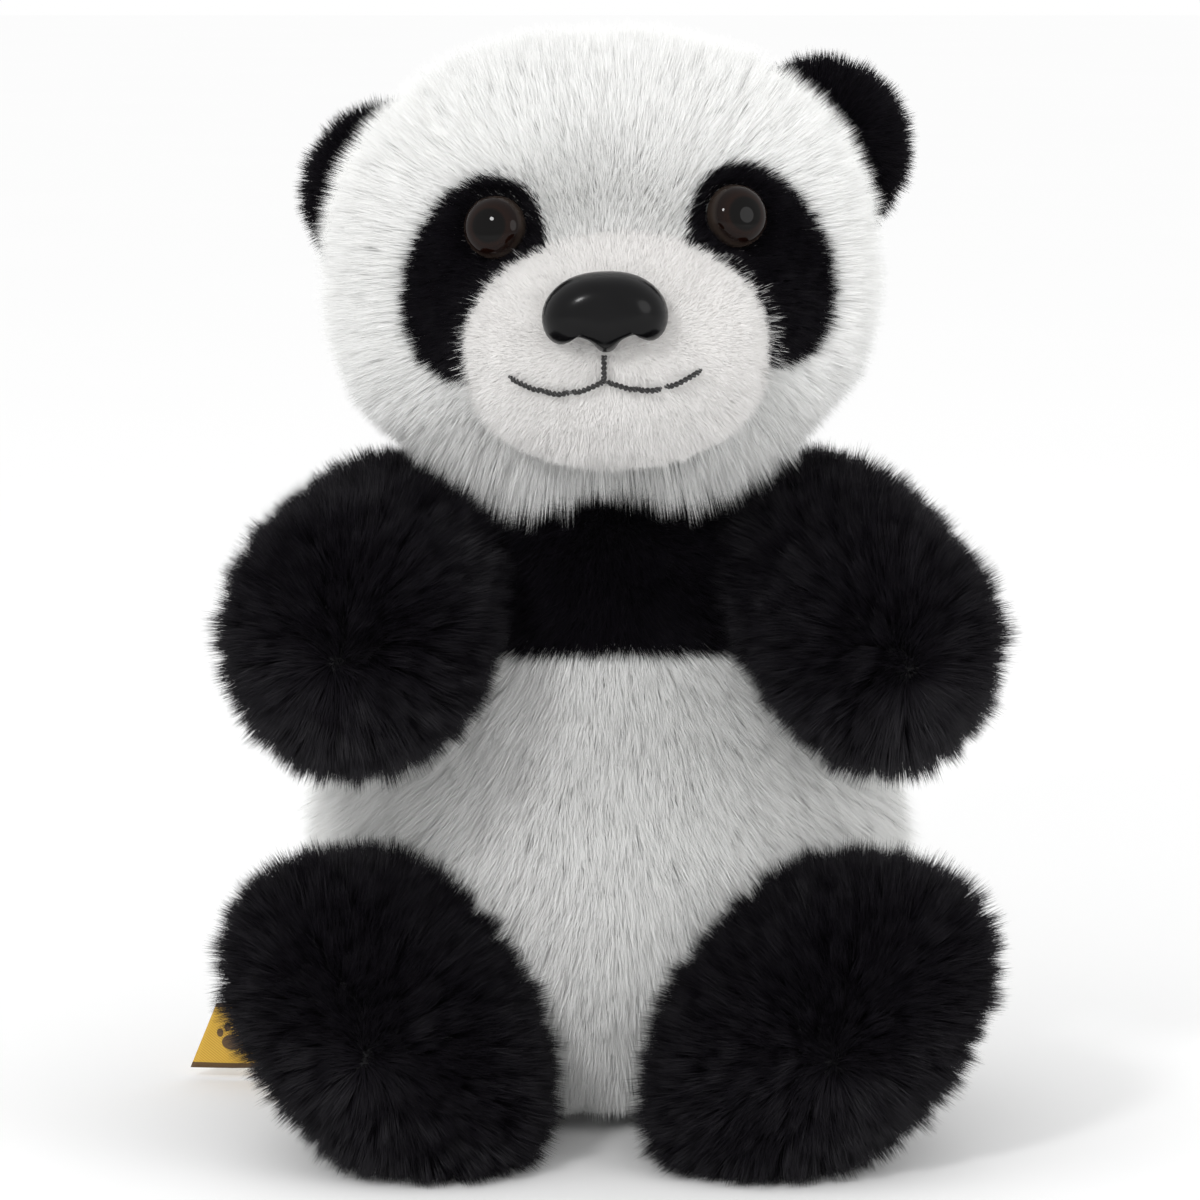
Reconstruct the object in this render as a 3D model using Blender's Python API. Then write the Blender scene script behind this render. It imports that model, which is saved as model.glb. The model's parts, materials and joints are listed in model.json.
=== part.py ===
# Seated plush panda, about 240 mm tall with its pile. Metres, +Z up, the panda faces -Y.
# The origin is the middle of the flat seat. Left and right are the panda's own, so left is +X.
# Each solid is the sewn cloth or the filling; the loose ends of the pile stand proud of it.

import math

import bmesh
import bpy
from mathutils import Matrix, Vector

MM = 0.001

# Cloth and clearances
CLOTH = 2.4 * MM            # knitted backing and the dense root of the pile
SEAM_GAP = 0.5 * MM         # between two panels along their seam
FILL_GAP = 0.8 * MM         # between the cloth and what it holds
JOINT_GAP = 1.3 * MM        # round a piece that turns
TRIM_GAP = 0.4 * MM         # between plastic or thread and the cloth under it
FILLING = CLOTH + FILL_GAP  # depth of the filling's surface under the cloth's face

# Torso: height, half width and half depth of each level
TORSO_LEVELS = [
    (0, 44, 36),
    (5, 52, 42),
    (16, 58, 47),
    (34, 61, 50),
    (54, 61.5, 49),
    (74, 59, 46),
    (94, 53, 42),
    (112, 46, 38),
    (126, 41, 34),
    (134, 36, 31),
    (138, 30, 27),
]
TORSO_SIDES = 20
SEAT_SEAM = 9 * MM          # height of the seam round the seat panel
YOKE_ARC = 160 * MM         # radius of the arched seam between chest band and belly
YOKE_TOP = 110 * MM         # height of that seam at its middle
POUCH_MIDDLE = Vector((0, 21, 14)) * MM
POUCH_RADII = Vector((23, 16, 10)) * MM
POUCH_FLOOR = 3.4 * MM

# Neck and head. Head sizes are measured from the neck's pivot.
NECK = Vector((0, 0, 146)) * MM
NECK_RADIUS = 23 * MM
HEAD_ROLL = math.radians(-2.5)
HEAD_MIDDLE = Vector((0, -12, 42)) * MM
HEAD_RADII = Vector((54, 46, 42)) * MM
HEAD_POWER = 2.3            # above 2 makes a fuller shape than an ellipsoid
CHEEK_POWER = 3.0           # the same for the lower half, where the cheeks are
EAR_SEAM = 4 * MM           # the face panels meet the back panel in this plane
MUZZLE_MIDDLE = Vector((1, -54, 26)) * MM
MUZZLE_RADII = Vector((31, 22.5, 22.5)) * MM
MUZZLE_BACK = 20 * MM       # how far the muzzle's sleeve runs back into the head
FACE_SHIFT = 2 * MM         # the eyes sit a little to the panda's left
EYE_APART = 23.4 * MM
EYE_HEIGHT = 51.5 * MM
EYE_RADIUS = 6.6 * MM
EYE_DOME = 5.2 * MM
SHANK_RADIUS = 1.9 * MM
SHANK_LENGTH = 10 * MM
WASHER_RADIUS = 5.4 * MM
WASHER_THICKNESS = 1.4 * MM
WASHER_DEPTH = 6 * MM
PATCH_APART = 28 * MM
PATCH_HEIGHT = 41 * MM
PATCH_HALF = Vector((13.5, 21)) * MM
PATCH_LEAN = math.radians(21)
NOSE_MIDDLE = Vector((0.5, -77, 35)) * MM
NOSE_RADII = Vector((13.4, 8, 8.4)) * MM
NOSE_SHANK_END = -60 * MM
NOSE_WASHER_RADIUS = 7 * MM
NOSE_WASHER_AT = -65 * MM
EAR_MIDDLES = {1: Vector((49.5, 9, 65)) * MM, -1: Vector((-44.5, 9, 60)) * MM}
EAR_RADII = Vector((17.5, 7, 17.5)) * MM
EAR_YAW = math.radians(14)
THREAD = 0.45 * MM
# The mouth's thread over the muzzle, as x and height
MOUTH_STEM = [(0, 25.6), (-0.2, 23), (-0.3, 21)]
MOUTH_ARM = [(1.6, 19.9), (5, 18.6), (10, 18), (15, 19.2), (19.6, 21.4)]

# Arms: pivot, middle of the paw, and radii. Keys are the side: 1 left, -1 right.
ARM_PIVOTS = {1: Vector((44, -6, 118)) * MM, -1: Vector((-44, -6, 118)) * MM}
PAWS = {1: Vector((56, -62, 110)) * MM, -1: Vector((-52, -64, 113)) * MM}
ARM_ROOT = 20 * MM
PAW_RADIUS = 21 * MM
ARM_IN = math.radians(6)    # how far an arm squeezes inwards from rest
ARM_SIDES = 12

# Legs: pivot, middle of the foot, half width and half height of the foot, and its outward lean
HIPS = {1: Vector((38, -8, 30)) * MM, -1: Vector((-38, -8, 30)) * MM}
FEET = {1: Vector((43, -70, 32)) * MM, -1: Vector((-45, -70, 34)) * MM}
FOOT_LEAN = {1: math.radians(36), -1: math.radians(-20)}
HIP_RADIUS = 23 * MM
FOOT_HALF = Vector((27, 35)) * MM
SOLE_BULGE = 22 * MM
SOLE_SEAM = 10 * MM         # the sole panel starts this far beyond the middle of the foot
LEG_IN = math.radians(3)
LEG_OUT = math.radians(15)
LEG_WIDENING = 0.06         # extra room along the leg, because it is thicker towards the foot
LEG_SIDES = 14

# Side label: corners in the plane of the side seam, as x and height
LABEL_CORNERS = [(-51, 3), (-95, 2.4), (-89, 17.2), (-59.6, 17.2)]
LABEL_THICKNESS = 0.8 * MM

WHITE = (0.86, 0.86, 0.83, 1)
BLACK = (0.012, 0.010, 0.014, 1)
FAR = 0.3                   # half size of cutters that only have to reach past everything


def clear_scene():
    for obj in list(bpy.data.objects):
        bpy.data.objects.remove(obj)


def material(name, colour, roughness):
    made = bpy.data.materials.new(name)
    made.use_nodes = True
    shader = made.node_tree.nodes["Principled BSDF"]
    shader.inputs["Base Color"].default_value = colour
    shader.inputs["Roughness"].default_value = roughness
    shader.inputs["Metallic"].default_value = 0
    return made


def place(name, bm, parent=None):
    bmesh.ops.recalc_face_normals(bm, faces=bm.faces)
    mesh = bpy.data.meshes.new(name)
    bm.to_mesh(mesh)
    bm.free()
    mesh.shade_smooth()
    obj = bpy.data.objects.new(name, mesh)
    bpy.context.scene.collection.objects.link(obj)
    obj.parent = parent
    return obj


def piece(name, bm, colour, roughness, parent=None, cuts=()):
    """A node of the panda: a closed mesh, then (operation, cutter) pairs."""
    obj = place(name, bm, parent)
    obj.data.materials.append(material(name, colour, roughness))
    for operation, cutter in cuts:
        boolean = obj.modifiers.new(cutter.name, "BOOLEAN")
        boolean.operation = operation
        boolean.solver = "EXACT"
        boolean.object = cutter
    return obj


def guide(name, bm, parent=None):
    obj = place("guide_" + name, bm, parent)
    obj.hide_render = True
    obj.display_type = "WIRE"
    return obj


def pivot(name, at, turn=Matrix.Identity(3)):
    empty = bpy.data.objects.new(name, None)
    empty.empty_display_size = 0.02
    empty.location = at
    empty.rotation_euler = turn.to_euler()
    bpy.context.scene.collection.objects.link(empty)
    return empty


def blob(middle, radii, power=2.0, segments=20, rings=12):
    """An ellipsoid, or a fuller rounded shape where power is above 2."""
    bm = bmesh.new()
    bmesh.ops.create_uvsphere(bm, u_segments=segments, v_segments=rings, radius=1)
    for vert in bm.verts:
        size = sum(abs(c) ** power for c in vert.co) ** (1 / power)
        vert.co = middle + Vector(c / size * r for c, r in zip(vert.co, radii))
    return bm


def box(low, high):
    bm = bmesh.new()
    bmesh.ops.create_cube(bm, size=1)
    low, high = Vector(low), Vector(high)
    for vert in bm.verts:
        vert.co = Vector(lo + (c + 0.5) * (hi - lo) for c, lo, hi in zip(vert.co, low, high))
    return bm


def loft(rings, start=None, end=None):
    """A closed skin through rings of points, ending in a point or else in a flat face."""
    bm = bmesh.new()
    loops = [[bm.verts.new(point) for point in ring] for ring in rings]
    count = len(loops[0])
    for first, second in zip(loops, loops[1:]):
        for i in range(count):
            j = (i + 1) % count
            bm.faces.new((first[i], first[j], second[j], second[i]))
    for loop, tip in ((loops[0], start), (loops[-1], end)):
        if tip is None:
            bm.faces.new(loop)
            continue
        pole = bm.verts.new(tip)
        for i in range(count):
            bm.faces.new((loop[i], loop[(i + 1) % count], pole))
    return bm


def oval(middle, across, up, count):
    """Points of an oval round middle, with the half axes across and up."""
    angles = [2 * math.pi * i / count for i in range(count)]
    return [middle + across * math.cos(a) + up * math.sin(a) for a in angles]


def lathe(profile, sides, axis=Vector((0, 0, 1))):
    """A turned solid: profile holds (radius, height) pairs, and its ends lie on the axis."""
    across = axis.orthogonal().normalized()
    up = axis.cross(across)
    rings = [oval(axis * h, across * r, up * r, sides) for r, h in profile[1:-1]]
    return loft(rings, axis * profile[0][1], axis * profile[-1][1])


def rod(start, end, radius, sides=8):
    axis = (end - start).normalized()
    across = axis.orthogonal().normalized()
    up = axis.cross(across)
    ends = (start, end)
    return loft([oval(p, across * radius, up * radius, sides) for p in ends])


# Torso

def torso_skin(inset):
    top = TORSO_LEVELS[-1][0] * MM
    rings = []
    for height, half_width, half_depth in TORSO_LEVELS:
        z = min(max(height * MM, inset), top - inset)
        across = Vector((half_width * MM - inset, 0, 0))
        back = Vector((0, half_depth * MM - inset, 0))
        rings.append(oval(Vector((0, 0, z)), across, back, TORSO_SIDES))
    return loft(rings)


def pouch(grow, floor):
    bm = blob(POUCH_MIDDLE, POUCH_RADII + Vector((grow, grow, grow)), 2.4, 16, 10)
    for vert in bm.verts:
        if vert.co.z < POUCH_MIDDLE.z - 0.3 * POUCH_RADII.z:
            vert.co.z = min(vert.co.z, floor) if floor < 0 else max(vert.co.z, floor)
    return bm


def build_torso(arm_rooms, leg_rooms):
    half = SEAM_GAP / 2
    inside = guide("torso_inside", torso_skin(CLOTH))
    arc_middle = Vector((0, 0, YOKE_TOP - YOKE_ARC))
    reach = Vector((1, 1, 1))
    under_arc = guide("under_arc", blob(arc_middle, reach * (YOKE_ARC - half), 2, 28, 24))
    arc = guide("arc", blob(arc_middle, reach * (YOKE_ARC + half), 2, 28, 24))
    front = guide("front", box((-FAR, -FAR, -FAR), (FAR, -half, FAR)))
    back = guide("back", box((-FAR, half, -FAR), (FAR, FAR, FAR)))
    above = guide("above_seat", box((-FAR, -FAR, SEAT_SEAM + half), (FAR, FAR, FAR)))
    below = guide("below_seat_seam", box((-FAR, -FAR, -FAR), (FAR, FAR, SEAT_SEAM - half)))
    halves = {
        side: guide(f"half_{side}", box((min(side * half, side * FAR), -FAR, -FAR),
                                        (max(side * half, side * FAR), FAR, FAR)))
        for side in (1, -1)
    }
    corners = [
        guide(f"corner_{side}", box((min(side * 38 * MM, side * FAR), -FAR, -FAR),
                                    (max(side * 38 * MM, side * FAR), half, 30 * MM)))
        for side in (1, -1)
    ]
    socket = guide("neck_socket", blob(NECK, reach * (NECK_RADIUS + JOINT_GAP), 2, 16, 10))
    hollow = [("DIFFERENCE", inside)]
    leg_clearances = [("DIFFERENCE", room) for room in leg_rooms]
    clearances = [("DIFFERENCE", room) for room in arm_rooms] + leg_clearances
    collar = [("DIFFERENCE", socket)]

    for name, side in (("chest_band_front", front), ("chest_band_back", back)):
        cuts = hollow + clearances + collar + [("INTERSECT", side), ("DIFFERENCE", arc)]
        piece(name, torso_skin(0), BLACK, 0.9, cuts=cuts)
    cuts = hollow + clearances + [("INTERSECT", front), ("INTERSECT", under_arc)]
    cuts += [("INTERSECT", above)] + [("DIFFERENCE", corner) for corner in corners]
    piece("belly_panel", torso_skin(0), WHITE, 0.9, cuts=cuts)
    for name, side in (("back_panel_left", 1), ("back_panel_right", -1)):
        cuts = hollow + clearances + [("INTERSECT", back), ("INTERSECT", halves[side])]
        cuts += [("INTERSECT", under_arc), ("INTERSECT", above)]
        piece(name, torso_skin(0), WHITE, 0.9, cuts=cuts)
    piece("seat_panel", torso_skin(0), WHITE, 0.9,
          cuts=hollow + [("INTERSECT", below)] + leg_clearances)

    pouch_room = guide("pouch_room", pouch(FILL_GAP, -POUCH_FLOOR))
    cuts = clearances + collar + [("DIFFERENCE", pouch_room)]
    piece("torso_stuffing", torso_skin(FILLING), WHITE, 0.95, cuts=cuts)
    piece("bean_pouch", pouch(0, POUCH_FLOOR), (0.7, 0.68, 0.6, 1), 0.8)


def build_label():
    seam = LABEL_CORNERS[0]
    empty = pivot("label_pivot", Vector((seam[0] * MM, 0, seam[1] * MM)))
    half = LABEL_THICKNESS / 2
    sides = []
    for y in (-half, half):
        corners = [Vector((x - seam[0], 0, z - seam[1])) * MM for x, z in LABEL_CORNERS]
        sides.append([corner + Vector((0, y, 0)) for corner in corners])
    piece("side_label", loft(sides), (0.67, 0.40, 0.03, 1), 0.7, empty)


# Head, measured from the neck's pivot

def head_skin(inset):
    """A rounded shape whose lower half is fuller than its crown."""
    radii = HEAD_RADII - Vector((inset, inset, inset))
    bm = blob(Vector(), Vector((1, 1, 1)), HEAD_POWER, 20, 12)
    for vert in bm.verts:
        below = min(max(-2 * vert.co.z, 0), 1)
        power = HEAD_POWER + (CHEEK_POWER - HEAD_POWER) * below
        vert.co /= sum(abs(c) ** power for c in vert.co) ** (1 / power)
        vert.co = HEAD_MIDDLE + Vector(c * r for c, r in zip(vert.co, radii))
    return bm


def head_point(x, z):
    """The point of the upper face's skin at x and height z, and the skin's direction there."""
    u = abs(x - HEAD_MIDDLE.x) / HEAD_RADII.x
    w = abs(z - HEAD_MIDDLE.z) / HEAD_RADII.z
    depth = (1 - u ** HEAD_POWER - w ** HEAD_POWER) ** (1 / HEAD_POWER)
    point = Vector((x, HEAD_MIDDLE.y - HEAD_RADII.y * depth, z))
    off = point - HEAD_MIDDLE
    scaled = [math.copysign(abs(o / r) ** (HEAD_POWER - 1), o) / r for o, r in zip(off, HEAD_RADII)]
    return point, Vector(scaled).normalized()


def muzzle_skin(grow, back, sides=18):
    """A blunt dome that faces -Y, on an oval sleeve that runs back."""
    across = Vector((MUZZLE_RADII.x + grow, 0, 0))
    up = Vector((0, 0, MUZZLE_RADII.z + grow))
    rings = [oval(MUZZLE_MIDDLE + Vector((0, back, 0)), across, up, sides)]
    steps = 5
    for i in range(steps):
        a = math.pi / 2 * i / steps
        middle = MUZZLE_MIDDLE - Vector((0, (MUZZLE_RADII.y + grow) * math.sin(a), 0))
        width = math.cos(a) ** 0.9
        rings.append(oval(middle, across * width, up * width, sides))
    tip = MUZZLE_MIDDLE - Vector((0, MUZZLE_RADII.y + grow, 0))
    return loft(rings, None, tip)


def muzzle_point(x, z, lift):
    """The point above the muzzle's skin at x and height z."""
    u = (x - MUZZLE_MIDDLE.x) / MUZZLE_RADII.x
    w = (z - MUZZLE_MIDDLE.z) / MUZZLE_RADII.z
    width = math.hypot(u, w)
    depth = math.sqrt(1 - width ** (2 / 0.9))
    return Vector((x, MUZZLE_MIDDLE.y - MUZZLE_RADII.y * depth - lift, z))


def face_oval(middle, half, lean, near, far):
    """An oval prism along Y."""
    across = Vector((math.cos(lean), 0, -math.sin(lean))) * half[0]
    up = Vector((math.sin(lean), 0, math.cos(lean))) * half[1]
    ends = [Vector((middle[0], y, middle[1])) for y in (near, far)]
    return loft([oval(end, across, up, 18) for end in ends])


def build_eye(side, name, empty):
    x = side * EYE_APART + FACE_SHIFT
    surface, outward = head_point(x, EYE_HEIGHT)
    seat = surface + outward * TRIM_GAP
    steps = 5
    angles = [math.pi / 2 * i / steps for i in range(1, steps)]
    dome = [(EYE_RADIUS * math.sin(a), EYE_DOME * math.cos(a)) for a in angles]
    stem = [(EYE_RADIUS, 0.9 * MM), (EYE_RADIUS, 0), (SHANK_RADIUS, 0)]
    stem += [(SHANK_RADIUS, -SHANK_LENGTH), (0, -SHANK_LENGTH)]
    eye = lathe([(0, EYE_DOME)] + dome + stem, 12, outward)
    bmesh.ops.translate(eye, vec=seat, verts=eye.verts)
    piece(f"eye_{name}", eye, (0.02, 0.012, 0.01, 1), 0.08, empty)

    washer_at = seat - outward * WASHER_DEPTH
    washer_end = washer_at - outward * WASHER_THICKNESS
    bore = guide(f"washer_bore_{name}",
                 rod(washer_at + outward * 5 * MM, washer_end - outward * 5 * MM,
                     SHANK_RADIUS + TRIM_GAP), empty)
    piece(f"eye_washer_{name}", rod(washer_at, washer_end, WASHER_RADIUS, 12),
          (0.8, 0.8, 0.78, 1), 0.4, empty, [("DIFFERENCE", bore)])
    hole = guide(f"eye_hole_{name}",
                 rod(seat + outward * 10 * MM, seat - outward * SHANK_LENGTH,
                     SHANK_RADIUS + TRIM_GAP), empty)
    pocket = guide(f"eye_pocket_{name}",
                   rod(seat + outward * 10 * MM, seat - outward * (SHANK_LENGTH + FILL_GAP),
                       WASHER_RADIUS + FILL_GAP, 12), empty)
    return hole, pocket


def build_nose(empty):
    along = Vector((0, 1, 0))
    clearance = guide("nose_seat", muzzle_skin(TRIM_GAP, 0), empty)
    start = NOSE_MIDDLE
    end = Vector((NOSE_MIDDLE.x, NOSE_SHANK_END, NOSE_MIDDLE.z))
    shank = guide("nose_shank", rod(start - along * 2 * MM, end, SHANK_RADIUS), empty)
    bm = blob(NOSE_MIDDLE, NOSE_RADII, 2.3, 16, 10)
    piece("nose", bm, (0.008, 0.008, 0.009, 1), 0.18, empty,
          [("DIFFERENCE", clearance), ("UNION", shank)])
    washer_at = Vector((NOSE_MIDDLE.x, NOSE_WASHER_AT, NOSE_MIDDLE.z))
    washer_end = washer_at + along * WASHER_THICKNESS
    bore = guide("nose_washer_bore", rod(washer_at - along * 5 * MM, washer_end + along * 5 * MM,
                                         SHANK_RADIUS + TRIM_GAP), empty)
    piece("nose_washer", rod(washer_at, washer_end, NOSE_WASHER_RADIUS, 12),
          (0.8, 0.8, 0.78, 1), 0.4, empty, [("DIFFERENCE", bore)])
    ahead = start - along * 20 * MM
    hole = guide("nose_hole", rod(ahead, end, SHANK_RADIUS + TRIM_GAP), empty)
    pocket = guide("nose_pocket", rod(ahead, end + along * FILL_GAP,
                                      NOSE_WASHER_RADIUS + FILL_GAP, 12), empty)
    return hole, pocket


def thread(name, points, empty):
    curve = bpy.data.curves.new(name, "CURVE")
    curve.dimensions = "3D"
    curve.bevel_depth = THREAD
    curve.bevel_resolution = 1
    curve.use_fill_caps = True
    spline = curve.splines.new("POLY")
    spline.points.add(len(points) - 1)
    for point, (x, z) in zip(spline.points, points):
        point.co = (*muzzle_point(x * MM, z * MM, THREAD + TRIM_GAP), 1)
    curve.materials.append(material(name, (0.01, 0.01, 0.01, 1), 0.6))
    obj = bpy.data.objects.new(name, curve)
    bpy.context.scene.collection.objects.link(obj)
    obj.parent = empty


def build_ear(side, name, empty):
    half = SEAM_GAP / 2
    turn = Matrix.Rotation(side * EAR_YAW, 3, "Z")
    local = pivot(f"ear_{name}_root", EAR_MIDDLES[side], turn)
    local.parent = empty
    clearance = guide(f"ear_seat_{name}", head_skin(-SEAM_GAP), empty)
    ahead = guide(f"ear_ahead_{name}", box((-FAR, -FAR, -FAR), (FAR, -half, FAR)), local)
    behind = guide(f"ear_behind_{name}", box((-FAR, half, -FAR), (FAR, FAR, FAR)), local)
    for part, region in (("front", ahead), ("back", behind)):
        piece(f"ear_{name}_{part}", blob(Vector(), EAR_RADII, 2, 16, 8), BLACK, 0.9, local,
              [("INTERSECT", region), ("DIFFERENCE", clearance)])


def build_head():
    half = SEAM_GAP / 2
    empty = pivot("head_pivot", NECK, Matrix.Rotation(HEAD_ROLL, 3, "Y"))
    inside = guide("head_inside", head_skin(CLOTH), empty)
    reach = Vector((1, 1, 1))
    collar = guide("head_collar", blob(Vector(), reach * (NECK_RADIUS + JOINT_GAP), 2, 16, 10), empty)
    ahead = guide("face", box((-FAR, -FAR, -FAR), (FAR, EAR_SEAM - half, FAR)), empty)
    behind = guide("behind_ears", box((-FAR, EAR_SEAM + half, -FAR), (FAR, FAR, FAR)), empty)
    near, far = -0.1, -0.022
    muzzle_at = (MUZZLE_MIDDLE.x, MUZZLE_MIDDLE.z)
    muzzle_half = (MUZZLE_RADII.x + SEAM_GAP, MUZZLE_RADII.z + SEAM_GAP)
    muzzle_room = guide("muzzle_room", face_oval(muzzle_at, muzzle_half, 0, near, far), empty)
    hollow = [("DIFFERENCE", inside), ("DIFFERENCE", collar)]
    pockets = []
    for side, name in ((1, "left"), (-1, "right")):
        hole, pocket = build_eye(side, name, empty)
        pockets.append(("DIFFERENCE", pocket))
        at = (side * PATCH_APART + FACE_SHIFT / 2, PATCH_HEIGHT)
        lean = -side * PATCH_LEAN
        wide = PATCH_HALF + Vector((SEAM_GAP, SEAM_GAP))
        patch_room = guide(f"patch_room_{name}", face_oval(at, wide, lean, near, far), empty)
        patch = guide(f"patch_{name}", face_oval(at, PATCH_HALF, lean, near, far), empty)
        low, high = sorted((side * half, side * FAR))
        flank = guide(f"face_{name}", box((low, -FAR, -FAR), (high, FAR, FAR)), empty)
        piece(f"eye_patch_{name}", head_skin(0), BLACK, 0.9, empty,
              hollow[:1] + [("INTERSECT", patch), ("DIFFERENCE", muzzle_room),
                            ("DIFFERENCE", hole)])
        piece(f"face_panel_{name}", head_skin(0), WHITE, 0.9, empty,
              hollow + [("INTERSECT", ahead), ("INTERSECT", flank),
                        ("DIFFERENCE", muzzle_room), ("DIFFERENCE", patch_room)])
        build_ear(side, name, empty)
    piece("head_back_panel", head_skin(0), WHITE, 0.9, empty, hollow + [("INTERSECT", behind)])

    nose_hole, nose_pocket = build_nose(empty)
    muzzle_inside = guide("muzzle_inside", muzzle_skin(-CLOTH, MUZZLE_BACK + 5 * MM), empty)
    piece("muzzle_panel", muzzle_skin(0, MUZZLE_BACK), WHITE, 0.85, empty,
          [("DIFFERENCE", muzzle_inside), ("DIFFERENCE", nose_hole)])
    muzzle_filling = guide("muzzle_filling", muzzle_skin(-FILLING, 2 * MUZZLE_BACK), empty)
    sleeve = guide("muzzle_sleeve", muzzle_skin(FILL_GAP, MUZZLE_BACK + FILL_GAP), empty)
    piece("head_stuffing", head_skin(FILLING), WHITE, 0.95, empty,
          [("DIFFERENCE", sleeve), ("UNION", muzzle_filling), ("DIFFERENCE", collar),
           ("DIFFERENCE", nose_pocket)] + pockets)
    thread("mouth_stitch_middle", MOUTH_STEM, empty)
    for side, name in ((1, "left"), (-1, "right")):
        thread(f"mouth_stitch_{name}", [(side * x, z) for x, z in MOUTH_ARM], empty)


def build_neck():
    empty = pivot("neck_pivot", NECK)
    radii = Vector((NECK_RADIUS, NECK_RADIUS, NECK_RADIUS))
    piece("neck_stuffing", blob(Vector(), radii, 2, 16, 10), WHITE, 0.95, empty)


# Arms and legs. Each is made along its own -Y, from its pivot, and then turned into place.

def aim(direction, lean=0.0):
    """The turn that points -Y along direction and leans the piece outwards about it."""
    back = -direction.normalized()
    across = back.cross(Vector((0, 0, 1))).normalized()
    up = across.cross(back)
    turn = Matrix((across, back, up)).transposed()
    return turn @ Matrix.Rotation(lean, 3, "Y")


def limb_skin(root, end_half, length, tip, grow, flare, sides):
    """A ball about the pivot that grows into an oval end. Grow and flare widen it for a clearance."""
    axis = Vector((0, -1, 0))
    root += grow
    rings = []
    steps = 4
    for i in range(1, steps):
        a = math.pi / 2 * i / steps
        rings.append((-root * math.cos(a), root * math.sin(a), root * math.sin(a)))
    for i in range(steps):
        t = i / steps
        blend = t * t * (3 - 2 * t)
        extra = grow + flare * length * t
        width = root - grow + (end_half[0] - root + grow) * blend + extra
        height = root - grow + (end_half[1] - root + grow) * blend + extra
        rings.append((length * t, width, height))
    extra = grow + flare * length
    for i in range(steps):
        a = math.pi / 2 * i / steps
        shrink = math.cos(a) ** 0.8
        rings.append((length + (tip + grow) * math.sin(a),
                      (end_half[0] + extra) * shrink, (end_half[1] + extra) * shrink))
    across, up = Vector((1, 0, 0)), Vector((0, 0, 1))
    ovals = [oval(axis * s, across * w, up * h, sides) for s, w, h in rings]
    return loft(ovals, axis * -root, axis * (length + tip + grow))


def arm_skin(side, grow, flare=0.0):
    length = (PAWS[side] - ARM_PIVOTS[side]).length
    half = (PAW_RADIUS, PAW_RADIUS)
    return limb_skin(ARM_ROOT, half, length, PAW_RADIUS, grow, flare, ARM_SIDES)


def build_arm(side, name):
    half = SEAM_GAP / 2
    turn = aim(PAWS[side] - ARM_PIVOTS[side])
    empty = pivot(f"arm_{name}_pivot", ARM_PIVOTS[side], turn)
    inside = guide(f"arm_inside_{name}", arm_skin(side, -CLOTH), empty)
    over = guide(f"arm_over_{name}", box((-FAR, -FAR, half), (FAR, FAR, FAR)), empty)
    under = guide(f"arm_under_{name}", box((-FAR, -FAR, -FAR), (FAR, FAR, -half)), empty)
    for part, region in (("upper", over), ("under", under)):
        piece(f"arm_{name}_{part}", arm_skin(side, 0), BLACK, 0.9, empty,
              [("DIFFERENCE", inside), ("INTERSECT", region)])
    piece(f"arm_{name}_stuffing", arm_skin(side, -FILLING), WHITE, 0.95, empty)

    axis = Vector((-side, 0, 1)).normalized()
    if side < 0:
        axis = -axis
    swing = Matrix.Rotation(-ARM_IN / 2, 3, axis)
    room_pivot = pivot(f"arm_{name}_room", ARM_PIVOTS[side], swing @ turn)
    return guide(f"arm_room_{name}", arm_skin(side, JOINT_GAP, math.sin(ARM_IN / 2)), room_pivot)


def leg_skin(side, grow, flare=0.0):
    length = (FEET[side] - HIPS[side]).length
    return limb_skin(HIP_RADIUS, FOOT_HALF, length, SOLE_BULGE, grow, flare, LEG_SIDES)


def flatten(bm, turn, origin, floor):
    """Presses what would reach under floor flat against it."""
    back = turn.transposed()
    for vert in bm.verts:
        placed = turn @ vert.co + origin
        if placed.z < floor:
            placed.z = floor
            vert.co = back @ (placed - origin)
    return bm


def build_leg(side, name):
    half = SEAM_GAP / 2
    direction = FEET[side] - HIPS[side]
    turn = aim(direction, FOOT_LEAN[side])
    empty = pivot(f"leg_{name}_pivot", HIPS[side], turn)

    def skin(inset):
        return flatten(leg_skin(side, -inset), turn, HIPS[side], inset)

    seam = -(direction.length + SOLE_SEAM)
    inside = guide(f"leg_inside_{name}", skin(CLOTH), empty)
    low, high = sorted((side * half, side * FAR))
    outer = guide(f"leg_outside_{name}", box((low, seam + half, -FAR), (high, FAR, FAR)), empty)
    low, high = sorted((-side * half, -side * FAR))
    inner = guide(f"leg_inward_{name}", box((low, seam + half, -FAR), (high, FAR, FAR)), empty)
    end = guide(f"leg_end_{name}", box((-FAR, -FAR, -FAR), (FAR, seam - half, FAR)), empty)
    for node, region in ((f"leg_{name}_outer", outer), (f"leg_{name}_inner", inner),
                         (f"sole_{name}", end)):
        piece(node, skin(0), BLACK, 0.9, empty, [("DIFFERENCE", inside), ("INTERSECT", region)])
    piece(f"leg_{name}_stuffing", skin(FILLING), WHITE, 0.95, empty)

    middle = side * (LEG_OUT - LEG_IN) / 2
    spread = (LEG_OUT + LEG_IN) / 2
    room_pivot = pivot(f"leg_{name}_room", HIPS[side], Matrix.Rotation(middle, 3, "Z") @ turn)
    flare = math.sin(spread) + LEG_WIDENING
    return guide(f"leg_room_{name}", leg_skin(side, JOINT_GAP, flare), room_pivot)


def main():
    clear_scene()
    sides = ((1, "left"), (-1, "right"))
    arm_rooms = [build_arm(side, name) for side, name in sides]
    leg_rooms = [build_leg(side, name) for side, name in sides]
    build_torso(arm_rooms, leg_rooms)
    build_label()
    build_neck()
    build_head()


main()
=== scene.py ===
import json
import math

import bmesh
import bpy
import numpy as np
from mathutils import Matrix, Vector
from mathutils.bvhtree import BVHTree


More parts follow.
